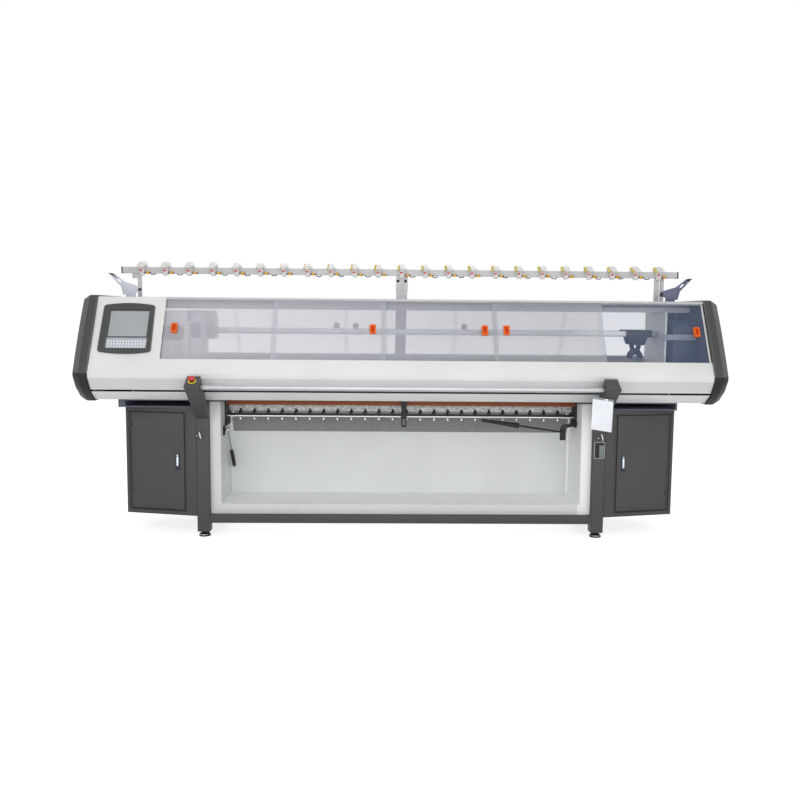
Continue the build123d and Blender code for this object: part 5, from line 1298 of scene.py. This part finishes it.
@dataclass
class StopButton:
    """Red mushroom button with its collar and yellow ring on the left arm."""

    head: tuple = (
        (0.0125, 0.017), (0.0185, 0.0178), (0.0204, 0.0205), (0.0202, 0.0235),
        (0.018, 0.027), (0.0135, 0.0302), (0.0072, 0.0318), (0.002, 0.0319),
    )
    stem: tuple = ((0.0049, 0.0052), (0.0049, 0.0172))
    ring: tuple = ((0.0238, 0.0002), (0.0238, 0.0018), (0.0226, 0.0029), (0.0147, 0.003))
    ring_bore: float = 0.0141
    collar: tuple = ((0.0137, 0.0004), (0.0137, 0.0105), (0.0128, 0.0119), (0.0055, 0.012))
    collar_bore: float = 0.00505

    def build(self) -> None:
        """Build the head on its stem, and the ring with its collar."""
        plate = loose_parts("stop_base")[-1]
        out = main_face(plate, (0, 0, 1))
        level = min(vert.co.dot(out) for vert in plate.vertices)
        centre = middle(plate)
        place = stand(centre + out * (level - centre.dot(out)), out)
        work = Workpiece(Shelf.red_plastic)
        work.turned(self.head, place, 40)
        work.turned(self.stem, place, 20)
        work.stand_in("stop_button_head", "stop_button")
        work = Workpiece(Shelf.yellow_plastic)
        work.turned_ring(self.ring, self.ring_bore, place)
        work.piece("stop_ring", "machine", "yellow_plastic", ["stop_base"])
        work = Workpiece(Shelf.black_plastic)
        work.turned_ring(self.collar, self.collar_bore, place)
        work.piece("stop_collar", "machine", "black_plastic", ["stop_base"])


@dataclass
class Feet:
    """Levelling feet: rubber sole, domed cup with a bright band, and stem."""

    radius: float = 0.036
    sole: tuple = ((0.94, 0), (0.99, 0.002), (0.99, 0.0075), (0.95, 0.0095))
    cup: tuple = (
        (0.9, 0.0095), (0.86, 0.013), (0.7, 0.0205), (0.48, 0.026), (0.42, 0.0285), (0.42, 0.0315),
    )
    band: tuple = ((0.93, 0.0092), (0.95, 0.0102), (0.92, 0.0122), (0.8, 0.0126))
    stem: tuple = ((0.0098, 0.028), (0.0098, 0.062))

    def build(self) -> None:
        """Build the four feet."""
        name = "levelling_feet"
        cups, stems = Workpiece(Shelf.black_rubber), Workpiece(Shelf.chrome_trim)
        for part in loose_parts(name):
            centre = middle(part)
            place = Matrix.Translation((centre.x, centre.y, 0))
            cups.turned(self.sole, place, 36, self.radius)
            cups.turned(self.cup, place, 36, self.radius)
            stems.using(Shelf.chrome_trim).turned(self.band, place, 36, self.radius)
            stems.using(Shelf.bright_steel).turned(self.stem, place, 20)
        cups.stand_in("feet_cups", name, 0.0005)
        stems.piece("feet_stems", "machine", "bright_steel", [name])


@dataclass
class Takedown:
    """Presser's rod, knobs and hooks, the guard behind the rollers and the two hand levers."""

    knob_neck: tuple = ((0.0034, -0.0002), (0.0034, 0.004))
    knob_radius: float = 0.0078
    knob: tuple = ((0.8, 0.004), (1, 0.005), (1, 0.015), (0.7, 0.017))
    claw: tuple = ((-0.011, 0.02), (-0.007, 0.55), (0.0, 0.9), (0.007, 0.78), (0.011, 0.3))
    claw_radius: float = 0.0034
    guard: tuple = ((-1.07, 0.14, 0.672), (1.07, 0.1415, 0.812))
    guard_lip: tuple = ((-1.07, 0.128, 0.672), (1.07, 0.14, 0.6735))
    grips: dict = field(default_factory=lambda: {"lever_left": 1, "lever_right": 0})
    dark_levers: tuple = ("lever_right",)

    def build(self) -> None:
        """Build the rod, the knobs, the hooks, the guard and the levers."""
        name = "presser_rod"
        *knobs, rod = loose_parts(name)
        stand_in("presser_bar_round", polished(rod, 0.0), Shelf.bright_steel, name)
        places = sorted((middle(part) for part in knobs), key=lambda point: point.x)
        work = Workpiece(Shelf.bright_steel)
        down = stand((0, 0, 0), (0, 0, -1), (0, 1, 0))
        work.turned(self.knob_neck, down, 12)
        work.turned(self.knob, down, 18, self.knob_radius)
        step = (places[-1].x - places[0].x) / (len(places) - 1)
        start = (places[0].x, places[0].y, extent(knobs[0])[1].z)
        row = Row(start, (step, 0, 0), len(places))
        row.piece("presser_knobs", work, BODY_OF[name], SLOT_OF[name], [name])
        self.build_hooks(row)
        work = Workpiece(Shelf.guard_grey)
        work.block(*self.guard)
        work.block(*self.guard_lip)
        work.piece("takedown_guard", "machine", "pale_sheet", width=0.0004)
        for lever, grip in self.grips.items():
            self.build_lever(lever, grip)

    def build_hooks(self, knobs: Row) -> None:
        """The hook bar, and a bent claw round each of its hooks, under the row of knobs."""
        name = "presser_hooks"
        softened(name, 0.0012, 2, Shelf.black_steel)
        low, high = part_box(name)
        work = Workpiece(Shelf.black_steel)
        path = [(u, 0.0, v * (high.z - low.z)) for u, v in self.claw]
        work.wire(path, self.claw_radius)
        row = replace(knobs, start=(knobs.start[0], (low.y + high.y) / 2, low.z))
        row.piece(f"{name}_claws", work, BODY_OF[name], SLOT_OF[name], [name])

    def build_lever(self, node: str, grip: int) -> None:
        """One lever, with its grip in black."""
        for number, part in enumerate(loose_parts(node)):
            dark = number == grip or node in self.dark_levers
            finish = Shelf.black_plastic if dark else Shelf.dull_steel
            name = f"{node}_grip" if number == grip else f"{node}_rod_{number + 1}"
            stand_in(name, polished(part, 0.0012), finish, node)


@dataclass
class Pouch:
    """Document pouch: plain paper in a clear film, hung on the start bar."""

    width: float = 0.122
    height: float = 0.188
    thickness: float = 0.0012
    slant: float = 0.03
    shear: float = 0.12
    shift: float = 0.022
    lowered: float = 0.004
    columns: int = 24
    rows: int = 36
    sag: float = 0.0014
    strap: Pair = (0.016, 0.024)
    strap_depth: float = 0.0014
    strap_below: float = 0.012
    clip_margin: float = 0.004
    clip_depth: float = 0.0008
    clip_heights: Pair = (-0.003, 0.006)

    def build(self) -> None:
        """Build the hanging film, its strap and its clip."""
        name = "document_pouch"
        low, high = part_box(name)
        tilt = math.atan(self.slant)
        hanging = self.width * math.sin(tilt) + self.height * math.cos(tilt)
        fall = (hanging + self.shear * self.width) / 2
        middle_y = (low.y + high.y) / 2
        centre = Vector(((low.x + high.x) / 2 + self.shift, middle_y, low.z + fall - self.lowered))
        made = linked("pouch", self.film_mesh(centre, tilt))
        thick = made.modifiers.new("film", "SOLIDIFY")
        thick.thickness = self.thickness
        thick.offset = 0.0
        mesh = baked(made)
        mesh.shade_smooth()
        film_piece = stand_in("pouch_film", mesh, Shelf.clear_film, name)
        left, right = (centre.x + side for side in self.strap)
        bottom = centre.z + self.height / 2 - self.strap_below
        front = low.y - self.thickness / 2
        work = Workpiece(Shelf.wire)
        work.block((left, front, bottom), (right, front + self.strap_depth, high.z))
        clip_low = (left - self.clip_margin, front - self.clip_depth, bottom + self.clip_heights[0])
        clip_high = (right + self.clip_margin, front, bottom + self.clip_heights[1])
        work.using(Shelf.bright_steel).block(clip_low, clip_high)
        work.stand_in("pouch_strap", name, 0.0003)

    def film_mesh(self, centre: Vector, tilt: float) -> Mesh:
        """The film's slightly waved face, with its flat coordinates.

        Args:
            centre: Its middle.
            tilt: Its turn in the hanging plane.

        Returns:
            The face's mesh.
        """
        across = Vector((math.cos(tilt), 0, -math.sin(tilt)))
        up = Vector((math.sin(tilt), 0, math.cos(tilt)))
        points, faces, flat = [], [], []
        wide = self.columns + 1
        for row in range(self.rows + 1):
            for column in range(wide):
                u, v = column / self.columns - 0.5, row / self.rows - 0.5
                wave = math.sin(5.2 * u + 2.1 * v) + 0.5 * math.sin(9.0 * v - 3.0 * u)
                depth = self.sag * (wave * (0.5 - v) * 0.55 - 0.35)
                hang = Vector((0, depth, -u * self.width * self.shear))
                points.append(centre + across * (u * self.width) + up * (v * self.height) + hang)
                flat.append((column / self.columns, row / self.rows))
                if row < self.rows and column < self.columns:
                    corner = row * wide + column
                    faces.append((corner, corner + 1, corner + wide + 1, corner + wide))
        mesh = bpy.data.meshes.new("pouch_film")
        mesh.from_pydata(points, [], faces)
        layer = mesh.uv_layers.new(name="cloth")
        for loop in mesh.loops:
            layer.data[loop.index].uv = flat[loop.vertex_index]
        return mesh


@dataclass
class Switch:
    """Power switch and leg hooks: grey rim, black insert, rocker, dim meter glass, bent wire."""

    hook_radius: float = 0.0046
    hook_path: tuple = (
        (-0.005, 0.0, 0.006), (-0.004, 0.014, 0.005), (-0.002, 0.025, 0.012),
        (0.001, 0.030, 0.024), (0.004, 0.030, 0.038), (0.006, 0.024, 0.049), (0.006, 0.015, 0.051),
    )
    tip_path: tuple = ((-0.004, 0.0, 0.035), (-0.012, 0.012, 0.037), (-0.021, 0.022, 0.034))
    glass: tuple = (0.029, 0.074, 0.002)
    glass_at: Pair = (0.0155, 0.039)
    glass_depth: float = 0.0014
    sockets: tuple = (-0.016, 0.0, 0.016)
    sockets_down: float = 0.008
    socket: tuple = ((0.0036, 0), (0.0034, 0.0012), (0.002, 0.0016))

    def build(self) -> None:
        """Build the rim, the leg hooks, the insert, the rocker, the glass and the sockets."""
        name = "switch_frame"
        *hooks, rim = loose_parts(name)
        stand_in("switch_rim", polished(rim, 0.0012, 3), Shelf.rim_grey, name)
        work = Workpiece(Shelf.bright_steel)
        wires = ((self.hook_path, self.hook_radius), (self.tip_path, self.hook_radius * 0.9))
        for part in hooks:
            x, top = middle(part).x, extent(part)[1]
            for path, radius in wires:
                work.wire([(x + u, top.y - out, top.z - down) for u, out, down in path], radius, 12)
        work.stand_in("leg_hooks", name, 0.001)
        softened("switch_insert", 0.0005)
        softened("switch_rocker", 0.0006)
        low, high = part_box("switch_insert")
        work = Workpiece(Shelf.meter_glass)
        spot = (high.x - self.glass_at[0], low.y + 2 * TOUCH, low.z + self.glass_at[1])
        work.plate(*self.glass, stand(spot, FORWARD), self.glass_depth)
        work.piece("switch_meter_glass", "machine", "black_plastic", width=0.0003)
        work = Workpiece(Shelf.black_rubber)
        for x in self.sockets:
            spot = ((low.x + high.x) / 2 + x, low.y + 3 * TOUCH, high.z - self.sockets_down)
            work.turned(self.socket, stand(spot, FORWARD), 14)
        work.piece("switch_sockets", "machine", "black_plastic")


@dataclass
class Carriage:
    """Carriage covers with their hatches, hood and vents, and the yarn carriers."""

    rounding: float = 0.012
    hatches: tuple = (
        ((-1.43, 1.18), (-1.298, 1.266), -0.2285), ((-1.263, 1.195), (-1.203, 1.29), -0.1905),
    )
    hatch_corner: float = 0.012
    hatch_depth: float = 0.0012
    screw: tuple = ((0.004, 0), (0.0036, 0.0006), (0.002, 0.0009))
    screw_inset: float = 0.008
    screw_out: float = 0.0007
    hood: tuple = ((-1.44, -0.172, 1.298), (-1.285, -0.045, 1.358))
    foot: tuple = ((-1.268, -0.19, 1.085), (-1.198, -0.125, 1.182))
    vent: tuple = (0.05, 0.005, 0.0024)
    vent_depth: float = 0.0012
    vents_inset: float = 0.055
    vents_low: float = 1.06
    vent_pitch: float = 0.012
    vent_count: int = 9

    def build(self) -> None:
        """Round the covers and add their hatches, hood and vents."""
        softened("carriage_covers", self.rounding, 4)
        softened("carriage_frame", 0.004, 3, Shelf.bridge_grey)
        for node in ("yarn_carrier_front", "yarn_carrier_rear"):
            softened(node, 0.0012)
        body = BODY_OF["carriage_covers"]
        work = Workpiece(Shelf.dark_housing)
        for (left, bottom), (right, top), face in self.hatches:
            spot = stand(((left + right) / 2, face + 2 * TOUCH, (bottom + top) / 2), FORWARD)
            plate = (right - left, top - bottom, self.hatch_corner)
            work.using(Shelf.dark_housing).plate(*plate, spot, self.hatch_depth)
            for x in (left + self.screw_inset, right - self.screw_inset):
                for z in (bottom + self.screw_inset, top - self.screw_inset):
                    mark = stand((x, face - self.screw_out, z), FORWARD)
                    work.using(Shelf.bright_steel).turned(self.screw, mark, 12)
        work.piece("carriage_hatch", body, "dark_housing", width=0.0004)
        work = Workpiece(Shelf.bridge_grey)
        work.block(*self.hood)
        work.block(*self.foot)
        work.piece("carriage_hood", body, "pale_sheet", width=0.01, segments=4)
        work = Workpiece(Shelf.black_plastic)
        work.plate(*self.vent, stand((0, 0, 0), FORWARD), self.vent_depth)
        low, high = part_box("carriage_covers")
        start = (high.x - self.vents_inset, low.y + 3 * TOUCH, self.vents_low)
        row = Row(start, (0, 0, self.vent_pitch), self.vent_count)
        row.piece("carriage_vents", work, body, "dark_housing", width=0.0003)


@dataclass
class NeedleBeds:
    """Needle butts standing in rows along both beds."""

    pitch: float = 0.0072
    butt: Point = (0.0008, 0.005, 0.0026)
    reaches: tuple = (0.0, 0.055, 0.1)
    butt_corner: float = 0.0003
    margin: float = 0.012
    free_length: float = 0.02
    from_gap: float = 0.05
    from_top: float = 0.044

    def build(self) -> None:
        """Build the butts of the front and the rear bed."""
        low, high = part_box("needle_beds")
        count = int((high.x - low.x - self.free_length) / self.pitch)
        root = math.sqrt(0.5)
        width, length, height = self.butt
        for side in Side:
            slant = side.value * root
            work = Workpiece(Shelf.bright_steel)
            flat = stand((0, 0, 0), (0, slant, root), (0, -slant, root))
            for reach in self.reaches:
                place = flat @ Matrix.Translation((0, -reach, 0))
                work.prism(rounded(width, length, self.butt_corner, 1), place, height)
            y = (low.y + high.y) / 2 + side.value * self.from_gap
            row = Row((low.x + self.margin, y, high.z - self.from_top), (self.pitch, 0, 0), count)
            row.piece(f"{side.name.lower()}_needles", work, "machine", "machined_steel")


@dataclass
class Fasteners:
    """Bolts of the yarn bar's middle bracket and screw heads on the cabinets' rear panels."""

    bolt_radius: float = 0.0088
    bolt: tuple = ((1, 0), (1, 0.004), (0.85, 0.006), (0.5, 0.0062))
    bolts: tuple = ((-0.024, 0.1712, 1.5573), (0.024, 0.1712, 1.5573))
    screw_radius: float = 0.0055
    screw: tuple = ((1, 0), (1, 0.0008), (0.82, 0.0024), (0.5, 0.003), (0.42, 0.003), (0.4, 0.0015))
    screws_low: float = 0.16
    screws_apart: Pair = (0.383, 0.29)
    screws_margin: float = 0.03

    def build(self) -> None:
        """Build the two bolts and the rows of screws on the cabinets."""
        work = Workpiece(Shelf.black_rubber)
        for spot in self.bolts:
            work.turned(self.bolt, stand(spot, FORWARD), 20, self.bolt_radius)
        work.piece("bracket_bolts", "machine", "black_plastic")
        low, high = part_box("cabinets")
        across, up = self.screws_apart
        starts = {"left": low.x + self.screws_margin, "right": high.x - self.screws_margin - across}
        for side, x in starts.items():
            work = Workpiece(Shelf.bright_steel)
            work.turned(self.screw, stand((0, 0, 0), BACK), 14, self.screw_radius)
            row = Row((x, high.y, self.screws_low), (across, 0, 0), 2, (0, 0, up), 3)
            row.piece(f"{side}_back_screws", work, "machine", "bright_steel")


@dataclass
class Interior:
    """What stands behind the windows and doors: end plates, lining, carrier boxes, and black strips
    round the doors that are partly rubber sealing and partly painted shade in the gaps.
    """

    lining: tuple = ((1.613, 0.28, 0.871), (1.7965, 0.2815, 1.4))
    end_floor: tuple = ((1.613, -0.22, 0.8705), (1.7965, 0.3, 0.8725))
    beam_reach: Pair = (-1.7, 1.66)
    short_rail: float = 0.3
    seal: float = 0.0045
    seal_depth: float = 0.0008
    seal_gap: float = 0.0006
    hinge_gap: float = 0.003

    def build(self) -> None:
        """Build the end plates, the lining and floors, the carrier boxes, rails and the black strips
        round the doors.
        """
        name = "end_frames"
        for number, part in enumerate(loose_parts(name)):
            right = middle(part).x > self.lining[0][0]
            finish = Shelf.dark_housing if right else slot_finish(name)
            stand_in(f"end_plate_{number + 1}", polished(part, 0.0015), finish, name)
        work = Workpiece(Shelf.dark_housing)
        work.block(*self.lining)
        low, high = self.end_floor
        work.block(low, high)
        work.block((-high[0], *low[1:]), (-low[0], *high[1:]))
        work.piece("end_lining", "machine", "dark_housing", width=0.0004)
        self.build_carriers()
        self.build_rails()
        for door in ("cabinet_door_left", "cabinet_door_right"):
            self.build_seal(door)

    def build_carriers(self) -> None:
        """Carrier boxes, their beams ending inside the end caps."""
        name = "carriers"
        mesh = merged_copy(name)
        low, high = self.beam_reach
        for vert in mesh.vertices:
            vert.co.x = min(max(vert.co.x, low), high)
        stand_in(f"{name}_shape", polished(mesh, 0.0012), Shelf.carrier_paint, name)

    def build_rails(self) -> None:
        """Guide rails in their slot's finish and the short brackets at their ends in a duller one."""
        name = "guide_rails"
        for number, part in enumerate(loose_parts(name)):
            finish = Shelf.rail_grey if length_along_x(part) < self.short_rail else slot_finish(name)
            stand_in(f"{name}_{number + 1}", polished(part, 0.001), finish, name)

    def build_seal(self, door: str) -> None:
        """Black strip round a door's opening, partly rubber sealing and partly painted shade in the
        gap, with a wider gap at the hinge.
        """
        mesh = merged_copy(door)
        place = stand(middle(mesh), main_face(mesh, FORWARD))
        flat = [place.inverted() @ vert.co for vert in mesh.vertices]
        gaps = (self.hinge_gap, self.seal_gap)
        left_gap, right_gap = gaps if middle(mesh).x < 0 else reversed(gaps)
        left = min(point.x for point in flat) - left_gap
        right = max(point.x for point in flat) + right_gap
        bottom = min(point.y for point in flat) - self.seal_gap
        top = max(point.y for point in flat) + self.seal_gap
        face = max(point.z for point in flat) - self.seal_depth / 2
        on_face = place @ Matrix.Translation((0, 0, face))
        # Painted shade: black strips stand in for the dark gap round the door, as well as its sealing.
        work = Workpiece(Shelf.black_rubber)
        wide = self.seal
        for across in ((left - wide, left), (right, right + wide)):
            work.box(across, (bottom - wide, top + wide), on_face, self.seal_depth)
        for up in ((bottom - wide, bottom), (top, top + wide)):
            work.box((left, right), up, on_face, self.seal_depth)
        work.piece(f"{door}_seal", "machine", "black_rubber")


@dataclass
class Details:
    """Rounded copies of the nodes that only need softer edges, and the latches' handles."""

    handle: tuple = (0.0125, 0.058, 0.005)
    handle_depth: float = 0.0022
    handle_up: float = 0.004
    barrel: tuple = ((0.0055, 0), (0.0055, 0.0016), (0.0046, 0.0022))
    barrel_up: float = 0.04
    widths: dict = field(
        default_factory=lambda: {
            "legs": 0.0025, "lower_frame": 0.002, "console_arms": 0.004,
            "cabinets": 0.0016, "cabinet_door_left": 0.0016, "cabinet_door_right": 0.0016,
            "latch_left": 0.0007, "latch_right": 0.0007, "fabric_bin": 0.0009, "end_caps": 0.006,
            "cover_panels": 0.0006, "cover_profiles": 0.0009, "roof": 0.0006,
            "drive_housings": 0.006, "bed_castings": 0.003, "control_racks": 0.002,
            "takedown_brackets": 0.0012, "fabric_guide": 0.0008, "yarn_bar": 0.0014,
            "side_guides": 0.0008, "bar_fittings": 0.001, "start_bar": 0.0006,
            "takedown_roller": 0.0006, "counter_roller": 0.0006,
        }
    )
    own: dict = field(
        default_factory=lambda: {
            "fabric_bin": Shelf.bin_sheet, "cover_profiles": Shelf.profile_aluminium,
            "start_bar": Shelf.dull_steel, "latch_left": Shelf.latch_paint,
            "latch_right": Shelf.latch_paint,
        }
    )

    def build(self) -> None:
        """Round each listed node, in its slot's finish or its own."""
        for node, width in self.widths.items():
            softened(node, width, 2, self.own.get(node))
        for node in ("latch_left", "latch_right"):
            self.build_handle(node)

    def build_handle(self, node: str) -> None:
        """Bright handle and lock barrel in a flush latch, standing for the latch's highlight, in chrome
        whose blue tint is a painted reflection.
        """
        mesh = merged_copy(node)
        place = stand(middle(mesh), main_face(mesh, FORWARD))
        face = max((place.inverted() @ vert.co).z for vert in mesh.vertices) - TOUCH
        work = Workpiece(Shelf.latch_chrome)
        handle = place @ Matrix.Translation((0, self.handle_up, face))
        work.plate(*self.handle, handle, self.handle_depth)
        work.turned(self.barrel, place @ Matrix.Translation((0, self.barrel_up, face)), 18)
        work.piece(f"{node}_handle", BODY_OF[node], "chrome_trim", width=0.0006)


@dataclass
class Photographer:
    """Camera at the photograph's place and angle."""

    place: Point = (-0.1253, -5.3429, 1.3483)
    yaw: float = 1.25
    pitch: float = 5.72
    roll: float = 0.51
    focal_pixels: float = 858.6
    image_side: int = 800
    sensor: float = 36.0

    def set_up(self) -> None:
        """Make the camera and use it."""
        data = bpy.data.cameras.new("photographer")
        data.sensor_width = self.sensor
        data.lens = self.focal_pixels / self.image_side * self.sensor
        data.clip_end = 100.0
        camera = linked("photographer", data)
        yaw, pitch, roll = (math.radians(value) for value in (self.yaw, self.pitch, self.roll))
        turn = Matrix.Rotation(-yaw, 4, "Z") @ Matrix.Rotation(math.pi / 2 - pitch, 4, "X")
        camera.matrix_world = Matrix.Translation(self.place) @ turn @ Matrix.Rotation(roll, 4, "Z")
        bpy.context.scene.camera = camera


@dataclass
class Studio:
    """Pale floor, soft lamps and a white surround."""

    ambient: float = 0.39
    reach: float = 40.0
    floor_colour: Colour = (0.8, 0.8, 0.8)
    floor_fibre: Colour = (0.84, 0.84, 0.84)
    floor_glow: float = 0.75
    aim: Point = (0.0, 0.0, 0.8)
    lamps: tuple = (
        ("key", (-2.4, -5.8, 2.6), 4.5, 96.0),
        ("fill", (2.8, -5.8, 1.9), 4.5, 87.0),
        ("low", (0.3, -6.6, 0.9), 4.0, 61.0),
        ("top", (0.0, 0.6, 4.8), 5.0, 35.0),
        ("back", (0.0, 4.6, 3.6), 4.0, 52.0),
    )

    def set_up(self) -> None:
        """Build the surround, the lamps and the floor."""
        self.build_world()
        for name, place, size, power in self.lamps:
            self.build_lamp(name, Vector(place), size, power)
        self.build_floor()
        bpy.context.scene.view_settings.view_transform = "Standard"

    def build_world(self) -> None:
        """White for the camera, gloss and glass, and soft ambient light for the rest."""
        world = bpy.data.worlds.new("studio")
        bpy.context.scene.world = world
        tree = ShaderTree(world, "ShaderNodeOutputWorld")
        light, white = (
            tree.node("ShaderNodeBackground", {"Color": WHITE, "Strength": strength}).outputs[0]
            for strength in (self.ambient, 1.0)
        )
        tree.close(tree.blend(tree.straight_rays(), light, white))

    def build_lamp(self, name: str, place: Vector, size: float, power: float) -> None:
        """One square soft lamp aimed at the machine's middle."""
        data = bpy.data.lights.new(name, "AREA")
        data.shape = "SQUARE"
        data.size = size
        data.energy = power
        lamp = linked(name, data)
        lamp.location = place
        lamp.rotation_euler = (Vector(self.aim) - place).to_track_quat("-Z", "Y").to_euler()

    def build_floor(self) -> None:
        """Wide floor, white to the camera and keeping the machine's shadow."""
        mesh = bpy.data.meshes.new("floor")
        reach = self.reach
        corners = [(-reach, -reach, 0), (reach, -reach, 0), (reach, reach, 0), (-reach, reach, 0)]
        mesh.from_pydata(corners, [], [(0, 1, 2, 3)])
        material = bpy.data.materials.new("floor_paper")
        tree = ShaderTree(material)
        paper = tree.mix(tree.noise(30.0, 3.0) * 0.2, self.floor_colour, self.floor_fibre)
        diffuse = tree.node("ShaderNodeBsdfDiffuse", {"Color": paper}).outputs[0]
        glow = tree.node("ShaderNodeEmission", {"Color": WHITE, "Strength": self.floor_glow}).outputs[0]
        both = tree.node("ShaderNodeAddShader", {0: diffuse, 1: glow}).outputs[0]
        tree.close(tree.blend(tree.straight_rays(), diffuse, both))
        mesh.materials.append(material)
        linked("floor", mesh)


def dress_nodes() -> None:
    """Give every CAD node that still shows the finish of its slot."""
    for name, node in frame["nodes"].items():
        node.data.materials.clear()
        node.data.materials.append(slot_finish(name).material())


def main() -> None:
    """Build the whole look of the machine, piece by piece."""
    logging.basicConfig(level=logging.INFO, format="%(message)s")
    Photographer().set_up()
    Studio().set_up()
    dress_nodes()
    assemblies = (
        Details(), Windows(), YarnStops(), Terminal(), StopButton(), Feet(), Takedown(),
        Pouch(), Switch(), Carriage(), NeedleBeds(), Fasteners(), Interior(),
    )
    for assembly in assemblies:
        LOG.info("building %s", type(assembly).__name__)
        assembly.build()


if __name__ == "__main__":
    main()
